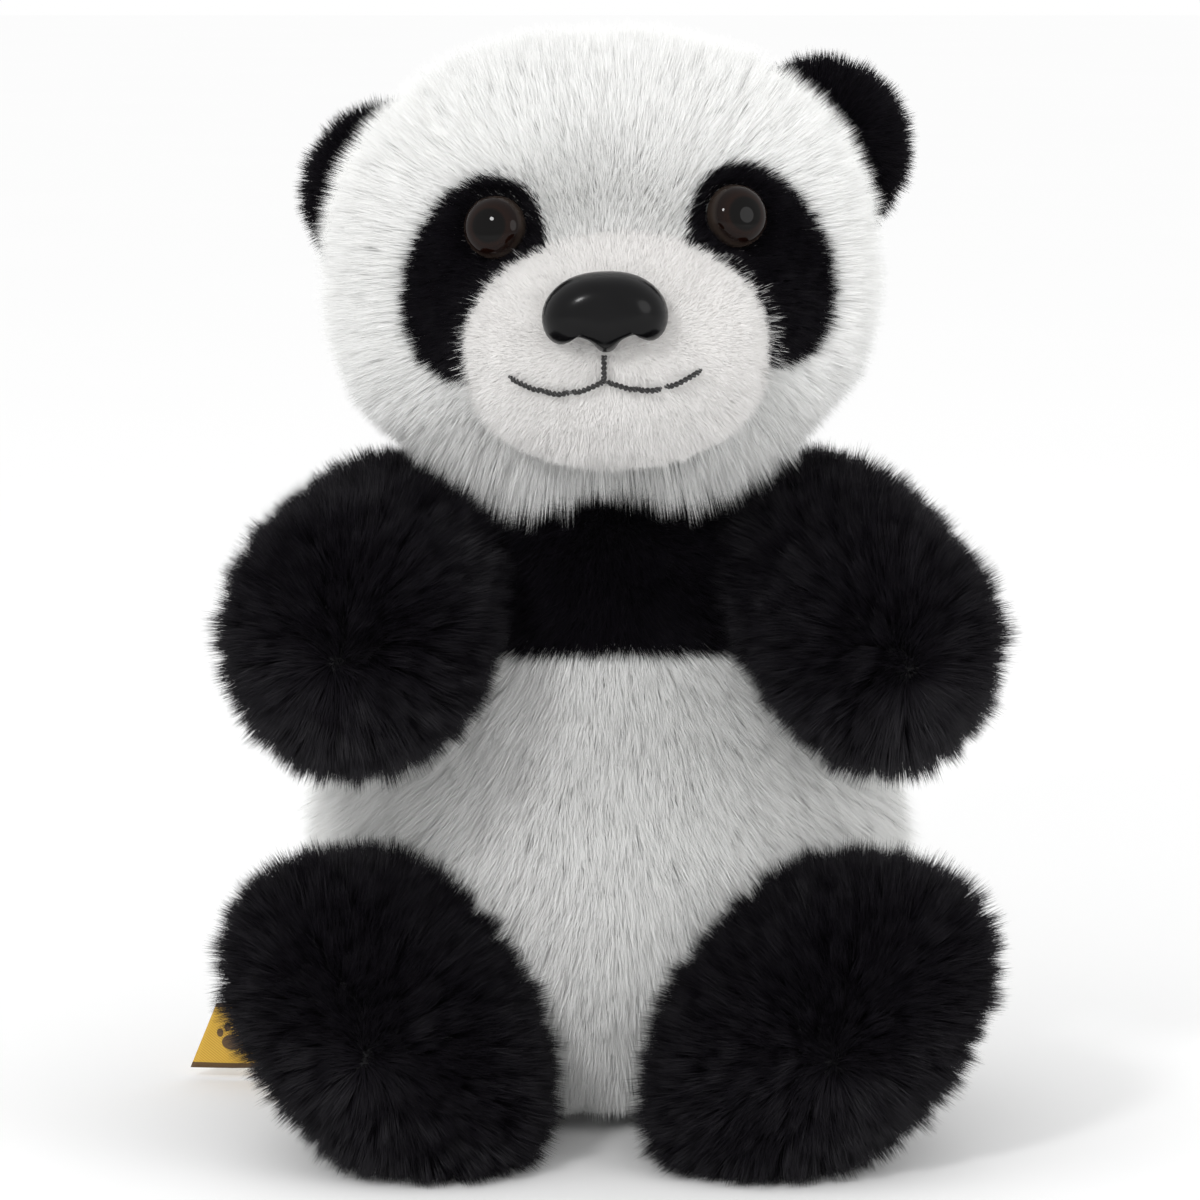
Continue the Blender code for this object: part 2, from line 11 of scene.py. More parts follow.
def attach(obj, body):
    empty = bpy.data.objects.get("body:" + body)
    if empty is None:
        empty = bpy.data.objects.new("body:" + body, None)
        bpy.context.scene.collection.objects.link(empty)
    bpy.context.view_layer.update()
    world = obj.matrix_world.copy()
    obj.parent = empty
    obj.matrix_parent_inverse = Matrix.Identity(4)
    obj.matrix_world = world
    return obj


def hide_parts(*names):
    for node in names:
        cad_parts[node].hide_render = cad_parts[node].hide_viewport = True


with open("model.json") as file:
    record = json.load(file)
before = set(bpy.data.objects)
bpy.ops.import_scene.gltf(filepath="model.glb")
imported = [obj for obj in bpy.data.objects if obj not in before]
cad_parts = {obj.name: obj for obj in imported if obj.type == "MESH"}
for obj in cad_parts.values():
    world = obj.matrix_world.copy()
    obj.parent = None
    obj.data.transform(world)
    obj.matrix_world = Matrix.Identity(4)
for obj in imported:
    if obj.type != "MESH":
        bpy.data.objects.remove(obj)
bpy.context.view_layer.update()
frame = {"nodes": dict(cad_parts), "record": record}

mm = 0.001
scene = bpy.context.scene
scene.view_settings.view_transform = "Standard"
print("frame loaded:", len(frame["nodes"]), "nodes")


# Node building: a Wire is one socket, and sums on it add the nodes

def operator(operation, swap=False):
    return lambda self, other: self.blend(operation, other, swap)


class Wire:
    def __init__(self, graph, socket):
        self.graph = graph
        self.socket = socket

    def blend(self, operation, other, swap):
        first, second = (other, self) if swap else (self, other)
        isVector = [isinstance(x, tuple) or (isinstance(x, Wire) and x.socket.type in ("VECTOR", "RGBA"))
                    for x in (first, second)]
        if not any(isVector):
            return self.graph.node("ShaderNodeMath", {"operation": operation}, {0: first, 1: second})
        if operation == "MULTIPLY" and not all(isVector):
            vector, scale = (first, second) if isVector[0] else (second, first)
            return self.vectorMath("SCALE", {"Vector": vector, "Scale": scale})
        return self.vectorMath(operation, {0: first, 1: second})

    def vectorMath(self, operation, values, output=0):
        return self.graph.node("ShaderNodeVectorMath", {"operation": operation}, values, output)

    __add__, __radd__ = operator("ADD"), operator("ADD", True)
    __sub__, __rsub__ = operator("SUBTRACT"), operator("SUBTRACT", True)
    __mul__, __rmul__ = operator("MULTIPLY"), operator("MULTIPLY", True)
    __lt__, __gt__ = operator("LESS_THAN"), operator("GREATER_THAN")
    smaller, larger = operator("MINIMUM"), operator("MAXIMUM")

    def unit(self):
        return self.vectorMath("NORMALIZE", {0: self})

    def cross(self, other):
        return self.vectorMath("CROSS_PRODUCT", {0: self, 1: other})

    def length(self):
        return self.vectorMath("LENGTH", {0: self}, "Value")

    def parts(self):
        split = self.graph.node("ShaderNodeSeparateXYZ", {}, {0: self})
        return [Wire(self.graph, split.socket.node.outputs[i]) for i in range(3)]


class Graph:
    def __init__(self, tree):
        self.tree = tree

    def node(self, kind, settings=None, values=None, output=0):
        made = self.tree.nodes.new(kind)
        for name, value in (settings or {}).items():
            if name == "stops":
                ramp = made.color_ramp
                while len(ramp.elements) < len(value):
                    ramp.elements.new(1)
                for element, (at, colour) in zip(ramp.elements, value):
                    element.position = at
                    element.color = colour
            else:
                setattr(made, name, value)
        for name, value in (values or {}).items():
            socket = made.inputs[name]
            if isinstance(value, Wire):
                self.tree.links.new(value.socket, socket)
            else:
                socket.default_value = value
        return Wire(self, made.outputs[output]) if len(made.outputs) else made

    def mixColour(self, factor, first, second):
        return self.node("ShaderNodeMix", {"data_type": "RGBA"}, {0: factor, 6: first, 7: second}, 2)

    def place(self):
        return self.node("ShaderNodeTexCoord", {}, {}, "Object")

    def noise(self, place, scale, detail=2.0, output=0):
        return self.node("ShaderNodeTexNoise", {}, {"Vector": place, "Scale": scale, "Detail": detail},
                         output)


def newTree(name, inputs, output):
    # a Geometry Nodes tree, its graph and its inputs by name
    tree = bpy.data.node_groups.new(name, "GeometryNodeTree")
    for kind, labels in inputs.items():
        for label in labels:
            tree.interface.new_socket(label, in_out="INPUT", socket_type="NodeSocket" + kind)
    tree.interface.new_socket(output, in_out="OUTPUT", socket_type="NodeSocketGeometry")
    graph = Graph(tree)
    source = tree.nodes.new("NodeGroupInput")
    return tree, graph, {socket.name: Wire(graph, socket) for socket in source.outputs if socket.name}


def useTree(thing, tree, values):
    change = thing.modifiers.new(tree.name, "NODES")
    change.node_group = tree
    for item in tree.interface.items_tree:
        if item.in_out == "INPUT" and item.name in values:
            change[item.identifier] = values[item.name]


def finishGraph(name, roughness, **fixed):
    finish = bpy.data.materials.new(name)
    finish.use_nodes = True
    graph = Graph(finish.node_tree)
    shader = finish.node_tree.nodes["Principled BSDF"]
    shader.inputs["Roughness"].default_value = roughness
    for socket, value in fixed.items():
        shader.inputs[socket.replace("_", " ")].default_value = value
    return finish, graph, shader


def plug(wire, shader, socket):
    wire.graph.tree.links.new(wire.socket, shader.inputs[socket])


def bumped(height, shader, strength, distance):
    values = {"Height": height, "Strength": strength, "Distance": distance}
    plug(height.graph.node("ShaderNodeBump", {}, values, "Normal"), shader, "Normal")


# Finishes

def strandFinish(name, colour, roughness, sheen):
    finish, _, shader = finishGraph(name, roughness, Sheen_Weight=sheen, Sheen_Roughness=0.5,
                                    Specular_IOR_Level=0.25)
    shader.inputs["Base Color"].default_value = (*colour, 1)
    finish.diffuse_color = (*colour, 1)
    return finish


def cloudedFinish(name, roughness, scale, first, second, **fixed):
    # two colours that drift into each other
    finish, graph, shader = finishGraph(name, roughness, **fixed)
    place = graph.place()
    cloud = graph.noise(place, scale)
    plug(graph.mixColour(cloud, (*first, 1), (*second, 1)), shader, "Base Color")
    return finish, graph, shader, place, cloud


def knitFinish(name, light, dark, stitchSize=0.9 * mm):
    finish, graph, shader = finishGraph(name, 0.9, Sheen_Weight=0.2)
    place = graph.place()
    cells = graph.node("ShaderNodeTexVoronoi", {}, {"Vector": place, "Scale": 1 / stitchSize}, "Distance")
    mask = (cells * 0.6 + graph.noise(place, 90.0, 4.0) * 0.5).smaller(1.0)
    plug(graph.mixColour(mask, (*light, 1), (*dark, 1)), shader, "Base Color")
    bumped(cells, shader, 0.5, 0.3 * mm)
    return finish


# two shades for each pile, so that single strands show
pileFinishes = {
    "white": [strandFinish("whitePileTip", (0.93, 0.93, 0.918), 0.8, 0.15),
              strandFinish("whitePileCool", (0.92, 0.922, 0.916), 0.8, 0.15)],
    "cream": [strandFinish("muzzlePileTip", (0.925, 0.912, 0.9), 0.8, 0.15),
              strandFinish("muzzlePileWarm", (0.91, 0.897, 0.884), 0.8, 0.15)],
    "black": [strandFinish("blackPileTip", (0.0058, 0.0048, 0.0072), 0.5, 0.0),
              strandFinish("blackPileSheen", (0.010, 0.0085, 0.012), 0.45, 0.0)],
}
whiteKnit = knitFinish("whiteKnit", (0.96, 0.96, 0.945), (0.9, 0.9, 0.885))
blackKnit = knitFinish("blackKnit", (0.008, 0.007, 0.009), (0.003, 0.003, 0.004))


# Mesh helpers

def arrayOf(mesh):
    data = np.empty(len(mesh.vertices) * 3, np.float32)
    mesh.vertices.foreach_get("co", data)
    return data.reshape(-1, 3)


def newObject(name, mesh):
    made = bpy.data.objects.new(name, mesh)
    scene.collection.objects.link(made)
    return made


def fromBmesh(name, bm, finish=None):
    bmesh.ops.recalc_face_normals(bm, faces=bm.faces)
    for face in bm.faces:
        face.smooth = True
    mesh = bpy.data.meshes.new(name)
    bm.to_mesh(mesh)
    bm.free()
    if finish:
        mesh.materials.append(finish)
    return newObject(name, mesh)


def finalMesh(thing):
    graph = bpy.context.evaluated_depsgraph_get()
    return bpy.data.meshes.new_from_object(thing.evaluated_get(graph), depsgraph=graph)


def applied(thing):
    # the modifiers' result becomes the piece's own mesh
    mesh = finalMesh(thing)
    thing.modifiers.clear()
    thing.data = mesh
    return thing


def modified(thing, kind, **settings):
    change = thing.modifiers.new(kind.lower(), kind)
    for name, value in settings.items():
        setattr(change, name, value)
    return thing


def rounded(thing):
    return applied(modified(thing, "SUBSURF", levels=1, render_levels=1))


def tell(thing, body, slot, *nodes):
    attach(thing, body)
    if nodes:
        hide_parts(*nodes)


def loft(rings, finish, name):
    # rings of points, or single points at the ends
    bm = bmesh.new()
    rows = [[bm.verts.new(point) for point in ring] for ring in rings]
    steps = max(len(row) for row in rows)
    for one, two in zip(rows, rows[1:]):
        for i in range(steps):
            j = (i + 1) % steps
            if len(one) == 1:
                bm.faces.new((one[0], two[i], two[j]))
            elif len(two) == 1:
                bm.faces.new((one[i], one[j], two[0]))
            else:
                bm.faces.new((one[i], one[j], two[j], two[i]))
    return fromBmesh(name, bm, finish)


def circleRing(middle, across, up, steps=32):
    turns = [math.tau * i / steps for i in range(steps)]
    return [middle + across * math.cos(a) + up * math.sin(a) for a in turns]


def turned(rings, axis, middle, finish, name, steps=48):
    # a lathe: rings of radius and height, about an axis
    turn = Vector((0, 0, 1)).rotation_difference(axis.normalized()).to_matrix()
    rows = []
    for radius, height in rings:
        centre = middle + turn @ Vector((0, 0, height))
        across, up = turn @ Vector((radius, 0, 0)), turn @ Vector((0, radius, 0))
        rows.append([centre] if radius == 0 else circleRing(centre, across, up, steps))
    return loft(rows, finish, name)


def smooth(low, high, x):
    share = np.clip((x - low) / (high - low), 0, 1)
    return share * share * (3 - 2 * share)


def sidedBall(middle, radii, power, name, finish=None, detail=4):
    # a rounded block: power 2 is an ellipsoid
    bm = bmesh.new()
    bmesh.ops.create_icosphere(bm, subdivisions=detail, radius=1)
    for vert in bm.verts:
        bulge = power(vert.co) if callable(power) else power
        vert.co /= sum(abs(c) ** bulge for c in vert.co) ** (1 / bulge)
        vert.co = middle + Vector(c * r for c, r in zip(vert.co, radii))
    return fromBmesh(name, bm, finish)


def placed(thing, matrix):
    thing.data.transform(matrix)
    return thing


def cut(thing, cutters, operation="DIFFERENCE"):
    for cutter in cutters:
        modified(thing, "BOOLEAN", operation=operation, solver="EXACT", object=cutter)
    return applied(thing)


def discard(*things):
    for thing in things:
        bpy.data.objects.remove(thing)


# Padded skins: a slightly small start shape, remeshed and blown up like a filled toy, held at its seams

filling = {"voxel": 4.5 * mm, "pressure": 4.0, "frames": 20, "cap": 3.0 * mm, "seamWidth": 3.5,
           "hold": 0.5, "quality": 4}


def holdAlong(thing, seamGap):
    # seamGap gives each vertex its distance from the nearest seam, in millimetres
    near = np.nonzero(seamGap(arrayOf(thing.data) / mm) < filling["seamWidth"])[0]
    thing.vertex_groups.new(name="seams").add(near.tolist(), filling["hold"], "REPLACE")


def fillUp(skins):
    starts = [arrayOf(skin.data) for skin in skins]
    for skin in skins:
        cloth = skin.modifiers.new("filled", "CLOTH")
        cloth.settings.use_pressure = True
        cloth.settings.uniform_pressure_force = filling["pressure"]
        cloth.settings.effector_weights.gravity = 0
        cloth.settings.vertex_group_mass = "seams"
        cloth.settings.quality = filling["quality"]
        cloth.collision_settings.use_collision = False
    for step in range(1, filling["frames"] + 1):
        scene.frame_set(step)
    for skin, start in zip(skins, starts):
        swollen = finalMesh(skin)
        move = arrayOf(swollen) - start
        far = np.linalg.norm(move, axis=1, keepdims=True)
        move *= np.minimum(1, filling["cap"] / np.maximum(far, 1e-9))
        skin.modifiers.clear()
        skin.data.vertices.foreach_set("co", (start + move).ravel())
        skin.data.update()
        bpy.data.meshes.remove(swollen)
    scene.frame_set(1)


def refined(skin):
    rounded(skin)
    skin.data.shade_smooth()


pivots = {joint["name"]: Vector(joint["pos_m"]) for joint in frame["record"]["behaviour"]["joints"]}
neckPivot = pivots["head_turn"]

# Head, in its own axes: millimetres from the neck, turned a little to one side

head = {
    "roll": -2.5, "middle": Vector((0, -12, 42)), "radii": Vector((52.5, 44.5, 40.5)),
    "crownPower": 2.3, "cheekPower": 3.0, "muzzleMiddle": Vector((2.5, -54, 26)),
    "muzzleRadii": Vector((31, 22.5, 22.5)), "muzzleInset": Vector((1, 0.5, 1)), "muzzleFullness": 0.9,
    "muzzleBack": 22, "earSeam": 4, "socket": 24,
}
domeSteps = 9
muzzleWidth = 25  # turns a share of the muzzle's oval into millimetres
sides = {"left": 1, "right": -1}
farAway = 99.0  # millimetres: no seam or neighbour nearby
headTurn = Matrix.Rotation(math.radians(head["roll"]), 4, "Y")
headMatrix = Matrix.Translation(neckPivot) @ headTurn
headFrame = np.array(headTurn.to_3x3())


def headLocal(points):
    # world metres to the head's own millimetres
    return (points / mm - np.array(neckPivot) / mm) @ headFrame


def headPower(co):
    below = min(max(-2 * co.z, 0), 1)
    return head["crownPower"] + (head["cheekPower"] - head["crownPower"]) * below


def headPoint(x, z, grow=1.5):
    # the cloth's surface on the upper face, and its outward direction
    radii = head["radii"] + Vector((grow, grow, grow))
    off = Vector((x, 0, z)) - head["middle"]
    power = head["crownPower"]
    depth = (1 - abs(off.x / radii.x) ** power - abs(off.z / radii.z) ** power) ** (1 / power)
    point = Vector((x, head["middle"].y - radii.y * depth, z))
    slopes = [math.copysign(abs(part / radius) ** (power - 1), part) / radius
              for part, radius in zip(point - head["middle"], radii)]
    return point, Vector(slopes).normalized()


def muzzleShare(x, z):
    # zero at the muzzle's middle and one at its rim
    middle, radii = head["muzzleMiddle"], head["muzzleRadii"]
    return np.hypot((x - middle.x) / radii.x, (z - middle.z) / radii.z)


def muzzlePoint(x, z, lift):
    depth = math.sqrt(max(0, 1 - float(muzzleShare(x, z)) ** (2 / head["muzzleFullness"])))
    return Vector((x, head["muzzleMiddle"].y - head["muzzleRadii"].y * depth - lift, z))


def makeHeadSkin():
    skin = sidedBall(head["middle"], head["radii"], headPower, "headSkin")
    middle, radii = head["muzzleMiddle"], head["muzzleRadii"] - head["muzzleInset"]
    sleeveEnd = middle + Vector((0, head["muzzleBack"], 0))
    across, up = Vector((radii.x, 0, 0)), Vector((0, 0, radii.z))
    rings = [[sleeveEnd], circleRing(sleeveEnd, across, up)]
    for i in range(domeSteps):
        a = math.pi / 2 * i / domeSteps
        width = math.cos(a) ** head["muzzleFullness"]
        centre = middle - Vector((0, radii.y * math.sin(a), 0))
        rings.append(circleRing(centre, across * width, up * width))
    rings.append([middle - Vector((0, radii.y, 0))])
    muzzle = loft(rings, None, "muzzle")
    cut(skin, [muzzle], "UNION")
    socket = sidedBall(Vector(), Vector((1, 1, 1)) * head["socket"], 2, "socket", detail=3)
    cut(skin, [socket])
    discard(muzzle, socket)
    for vert in skin.data.vertices:
        vert.co *= mm
    return placed(skin, headMatrix)


def headSeamGap(worldMm):
    x, y, z = headLocal(worldMm * mm).T
    muzzle = np.abs(muzzleShare(x, z) - 1) * muzzleWidth
    muzzle[y > -20] = farAway
    ear = np.abs(y - head["earSeam"])
    socket = np.maximum(np.sqrt(x * x + y * y + z * z) - head["socket"] - 2, 0)
    crown = np.abs(x - 1)
    crown[(y > 0) | (z < 45)] = farAway
    return np.minimum.reduce([muzzle, ear, socket, crown])


# Torso

torso = {
    "levels": [(0, 44, 36), (5, 52, 42), (16, 58, 47), (34, 61, 50), (54, 63, 49), (74, 61.5, 46),
               (94, 55, 42), (112, 46, 38), (126, 41, 34), (134, 36, 31), (138, 30, 27)],
    "inset": 1.5, "yokeRadius": 160, "yokeTop": 110, "seatSeam": 9, "under": 4, "neckEdge": 133,
}


def makeTorsoSkin(rooms):
    inset = torso["inset"]
    top = torso["levels"][-1][0] - inset
    rings = [[Vector((0, 0, inset))]]
    for height, wide, deep in torso["levels"]:
        middle = Vector((0, 0, min(max(height, inset), top)))
        rings.append(circleRing(middle, Vector((wide - inset, 0, 0)), Vector((0, deep - inset, 0))))
    skin = loft(rings + [[Vector((0, 0, top))]], None, "torsoSkin")
    skin.data.transform(Matrix.Scale(mm, 4))
    return cut(skin, rooms)


def yokeGap(points):
    # above zero inside the belly's arched seam
    centre = np.array((0, 0, torso["yokeTop"] - torso["yokeRadius"]))
    return torso["yokeRadius"] - np.linalg.norm(points - centre, axis=1)


def torsoSeamGap(points):
    x, y, z = points.T
    yoke = yokeGap(points)
    spine = np.abs(x)
    spine[(y < 0) | (yoke < 0)] = farAway
    seat = np.abs(z - torso["seatSeam"])
    under = np.where(z < torso["under"], 0, farAway)
    top = np.where(z > torso["neckEdge"], 0, farAway)
    return np.minimum.reduce([np.abs(y), spine, seat, np.abs(yoke), under, top])


# Arms and legs, each made along its own -Y from its pivot and then aimed

limbs = {
    "arm_left": {"end": Vector((58, -62, 109)), "half": (19.5, 22.5), "lean": 0, "sign": 1},
    "arm_right": {"end": Vector((-54, -64, 111)), "half": (23, 25), "lean": 0, "sign": -1},
    "leg_left": {"end": Vector((44.5, -73, 27)), "half": (21.5, 40), "lean": 46, "sign": 1},
    "leg_right": {"end": Vector((-47.5, -73, 27.5)), "half": (21, 38.5), "lean": -41, "sign": -1},
}
for name, limb in limbs.items():
    isLeg = name.startswith("leg")
    limb["root"], limb["tip"] = (23, 22) if isLeg else (21, 21)
    limb["joint"] = name + ("_spread" if isLeg else "_swing")
ballSteps, limbSteps = 6, 8
pawFullness = 0.8
rootEdge = -12  # millimetres along the limb: its padding is held from here to the body
solePlace = 10  # millimetres from the middle of the foot to the sole's seam


def limbMatrix(name):
    limb = limbs[name]
    pivot = pivots[limb["joint"]]
    back = -(limb["end"] * mm - pivot).normalized()
    across = back.cross(Vector((0, 0, 1))).normalized()
    turn = Matrix((across, back, across.cross(back))).transposed()
    turn = turn @ Matrix.Rotation(math.radians(limb["lean"]), 3, "Y")
    return Matrix.Translation(pivot) @ turn.to_4x4()


def limbLength(name):
    return (limbs[name]["end"] * mm - pivots[limbs[name]["joint"]]).length / mm


def makeLimb(name, grow, label):
    limb = limbs[name]
    length = limbLength(name)
    root, (wide, tall), tip = limb["root"] + grow, limb["half"], limb["tip"] + grow
    rows = []
    for i in range(1, ballSteps):
        a = math.pi / 2 * i / ballSteps
        rows.append((-root * math.cos(a), root * math.sin(a), root * math.sin(a)))
    for i in range(limbSteps):
        share = i / limbSteps
        ease = share * share * (3 - 2 * share)
        rows.append((length * share, root + (wide + grow - root) * ease, root + (tall + grow - root) * ease))
    for i in range(limbSteps):
        a = math.pi / 2 * i / limbSteps
        shrink = math.cos(a) ** pawFullness
        rows.append((length + tip * math.sin(a), (wide + grow) * shrink, (tall + grow) * shrink))
    rings = [circleRing(Vector((0, -s, 0)), Vector((w, 0, 0)), Vector((0, 0, h))) for s, w, h in rows]
    rings = [[Vector((0, root, 0))]] + rings + [[Vector((0, -length - tip, 0))]]
    shape = loft(rings, None, label)
    shape.data.transform(Matrix.Scale(mm, 4))
    return placed(shape, limbMatrix(name))


def flattenUnder(thing, height=0.4 * mm):
    for vert in thing.data.vertices:
        vert.co.z = max(vert.co.z, height)
    return thing


def limbLocal(name, points):
    # world metres to the limb's own millimetres
    backwards = np.array(limbMatrix(name).inverted())
    return (points @ backwards[:3, :3].T + backwards[:3, 3]) / mm


def limbSeamGap(name):
    def gap(worldMm):
        x, y, z = limbLocal(name, worldMm * mm).T
        across = np.abs(x if "leg" in name else z)
        rootArea = np.where(y > rootEdge, 0, farAway)
        floorArea = np.where(worldMm[:, 2] < 1.5, 0, farAway)
        gaps = [across, rootArea, floorArea]
        if "leg" in name:
            gaps.append(np.abs(-y - limbLength(name) - solePlace))
        return np.minimum.reduce(gaps)
    return gap


rooms = [makeLimb(name, 1.2, name + "Room") for name in limbs]
neckRoom = sidedBall(neckPivot, Vector((24.3, 24.3, 24.3)) * mm, 2, "neckRoom", detail=3)
skins = {"root": makeTorsoSkin(rooms + [neckRoom]), "head": makeHeadSkin()}
discard(neckRoom, *rooms)
for name in limbs:
    skins[name] = flattenUnder(makeLimb(name, -1.5, name + "Skin"))
seamGaps = {"root": torsoSeamGap, "head": headSeamGap, **{name: limbSeamGap(name) for name in limbs}}
for body, skin in skins.items():
    applied(modified(skin, "REMESH", mode="VOXEL", voxel_size=filling["voxel"], use_smooth_shade=True))
    holdAlong(skin, seamGaps[body])
fillUp(list(skins.values()))
for skin in skins.values():
    refined(skin)
    skin.vertex_groups.clear()
print("skins filled:", {name: len(skin.data.polygons) for name, skin in skins.items()})

# Pile: strands set on a skin by Geometry Nodes. The skin's points carry pileLength, pileZone and pileLean.

pileInputs = {
    "Geometry": ["Skin"], "Object": ["Strand"], "Int": ["Seed"], "Material": ["Finish", "Other Finish"],
    "Float": ["Density", "Tufts", "Tuft Pull", "Tuft Range", "Jitter", "Swirl", "Swirl Scale", "Width",
              "Fray", "Shortest", "Floor"],
}
vector = "FLOAT_VECTOR"
otherShare = 0.4  # of the strands, in the other of a pile's two shades


def makePileTree():
    tree, graph, given = newTree("pile", pileInputs, "Pile")

    def store(geometry, name, value, kind="FLOAT"):
        return graph.node("GeometryNodeStoreNamedAttribute", {"data_type": kind, "domain": "POINT"},
                          {"Geometry": geometry, "Name": name, "Value": value})

    def named(name, kind=vector):
        return graph.node("GeometryNodeInputNamedAttribute", {"data_type": kind}, {"Name": name},
                          "Attribute")

    def number(name):
        return named(name, "FLOAT")

    def chance(low, high, salt, owner=None):
        isVector = isinstance(low, tuple)
        first, last, made = (0, 1, 0) if isVector else (2, 3, 1)
        values = {first: low, last: high, "Seed": given["Seed"] + salt}
        if owner:
            values["ID"] = owner
        kind = vector if isVector else "FLOAT"
        return graph.node("FunctionNodeRandomValue", {"data_type": kind}, values, made)

    def anyWay(salt, owner=None):
        return chance((-1.0, -1.0, -1.0), (1.0, 1.0, 1.0), salt, owner)

    def scatter(density, salt):
        return graph.node("GeometryNodeDistributePointsOnFaces", {"distribute_method": "RANDOM"},
                          {"Mesh": given["Skin"], "Density": density, "Seed": given["Seed"] + salt})

    def without(points, selection):
        return graph.node("GeometryNodeDeleteGeometry", {"domain": "POINT"},
                          {"Geometry": points, "Selection": selection})

    here = graph.node("GeometryNodeInputPosition")
    tufts = scatter(given["Tufts"], 101)
    roots = scatter(given["Density"], 0)
    normal = Wire(graph, roots.socket.node.outputs["Normal"])
    roots = store(roots, "pileNormal", normal, vector)
    roots = without(roots, number("pileZone") + chance(-1.0, 1.0, 1) * given["Fray"] < 0.0)
    roots = without(roots, number("pileLength") < given["Shortest"])
    nearest = graph.node("GeometryNodeSampleNearest", {}, {"Geometry": tufts, "Sample Position": here})
    tuftPlace = graph.node("GeometryNodeSampleIndex", {"data_type": vector},
                           {"Geometry": tufts, "Value": here, "Index": nearest})
    swirlMap = graph.noise(here, given["Swirl Scale"], 2.0, "Color")
    swirl = (swirlMap - (0.5, 0.5, 0.5)) * (given["Swirl"] * 2.0)
    roots = store(roots, "rootPlace", here, vector)
    # short strands lean less towards their tuft
    fullLength = (number("pileLength") * (1 / (7 * mm))).smaller(1.0)
    roots = store(roots, "tuftShift", (tuftPlace - here) * fullLength, vector)
    tuftTurn = anyWay(13, nearest) * given["Tuft Range"]
    tuftSize = chance(-1.0, 1.0, 17, nearest) * given["Tuft Range"] + 1.0
    lean = named("pileLean") + swirl + anyWay(3) * given["Jitter"] + tuftTurn
    upright = named("pileNormal")
    roots = store(roots, "firstWay", (upright + lean * 0.35).unit(), vector)
    roots = store(roots, "lastWay", (upright * 0.55 + lean * 1.3).unit(), vector)
    bladeWay = named("lastWay").cross(anyWay(5) * 0.6 + upright).unit()
    roots = store(roots, "bladeWay", bladeWay, vector)
    roots = store(roots, "strandSize", number("pileLength") * chance(0.7, 1.12, 7) * tuftSize)
    roots = store(roots, "strandDraw", chance(0.0, 1.0, 9))
    roots = store(roots, "tuftShare", given["Tuft Pull"] * chance(0.6, 1.0, 11))
    strand = graph.node("GeometryNodeObjectInfo", {}, {"Object": given["Strand"]}, "Geometry")
    strands = graph.node("GeometryNodeInstanceOnPoints", {}, {"Points": roots, "Instance": strand})
    strands = graph.node("GeometryNodeRealizeInstances", {}, {"Geometry": strands})
    local = (here - named("rootPlace")).parts()
    strands = store(strands, "along", local[2])
    strands = store(strands, "across", local[0])
    along = number("along")
    bend = along * along * 0.5
    path = named("firstWay") * (along - bend) + named("lastWay") * bend
    path = path * number("strandSize") + named("rootPlace")
    path = path + named("tuftShift") * (along * along * number("tuftShare"))
    path = path + named("bladeWay") * (number("across") * given["Width"])
    x, y, z = path.parts()
    path = graph.node("ShaderNodeCombineXYZ", {}, {0: x, 1: y, 2: z.larger(given["Floor"])})
    strands = graph.node("GeometryNodeSetPosition", {}, {"Geometry": strands, "Position": path})
    for finish, least in (("Finish", -1.0), ("Other Finish", 1.0 - otherShare)):
        strands = graph.node("GeometryNodeSetMaterial", {}, {
            "Geometry": strands, "Selection": number("strandDraw") > least, "Material": given[finish]})
    tree.links.new(strands.socket, tree.nodes.new("NodeGroupOutput").inputs[0])
    return tree


pileTree = makePileTree()


def makeStrand():
    # a flat pointed blade one unit tall, which the tree sizes and turns
    bm = bmesh.new()
    bm.faces.new([bm.verts.new(corner) for corner in ((-0.5, 0, 0), (0.5, 0, 0), (0, 0, 1))])
    mesh = bpy.data.meshes.new("strand")
    bm.to_mesh(mesh)
    bm.free()
    return newObject("strand", mesh)


strand = makeStrand()
pileLook = {
    "Density": 1.25e7, "Tufts": 1.8e5, "Tuft Pull": 0.3, "Tuft Range": 0.1,
    "Jitter": 0.2, "Swirl": 0.35, "Swirl Scale": 60.0,
    "Width": 0.24 * mm, "Fray": 0.6 * mm, "Shortest": 0.8 * mm, "Floor": 0.3 * mm,
}
pileSeeds = iter(range(11, 400, 13))


def growPile(name, skin, zone, length, lean, shade, look, body, *nodes):
    # zone and length are in millimetres, one for each point of the skin
    settings = {**pileLook, **look}
    carrier = newObject(name, skin.data.copy())
    mesh = carrier.data
    mesh.materials.clear()
    for key, kind, values in (("pileZone", "FLOAT", zone * mm), ("pileLength", "FLOAT", length * mm),
                              ("pileLean", "FLOAT_VECTOR", lean)):
        data = mesh.attributes.new(key, kind, "POINT").data
        data.foreach_set("value" if kind == "FLOAT" else "vector", values.astype(np.float32).ravel())
    bm = bmesh.new()
    bm.from_mesh(mesh)
    layer = bm.verts.layers.float["pileZone"]
    reach = -settings["Fray"] - 0.2 * mm  # faces wholly outside the zone are dropped
    spare = [face for face in bm.faces if all(vert[layer] < reach for vert in face.verts)]
    bmesh.ops.delete(bm, geom=spare, context="FACES")
    bm.to_mesh(mesh)
    bm.free()
    useTree(carrier, pileTree, {**settings, "Strand": strand, "Seed": next(pileSeeds),
                                "Finish": pileFinishes[shade][0], "Other Finish": pileFinishes[shade][1]})
    applied(carrier)
    for extra in [a.name for a in carrier.data.attributes if not a.is_internal and a.name not in
                  ("position", "material_index", "sharp_face")]:
        carrier.data.attributes.remove(carrier.data.attributes[extra])
    tell(carrier, body, "muzzle_pile" if shade == "cream" else shade + "_pile", *nodes)


# How close another body's skin is, so that the pile between two bodies is pressed short

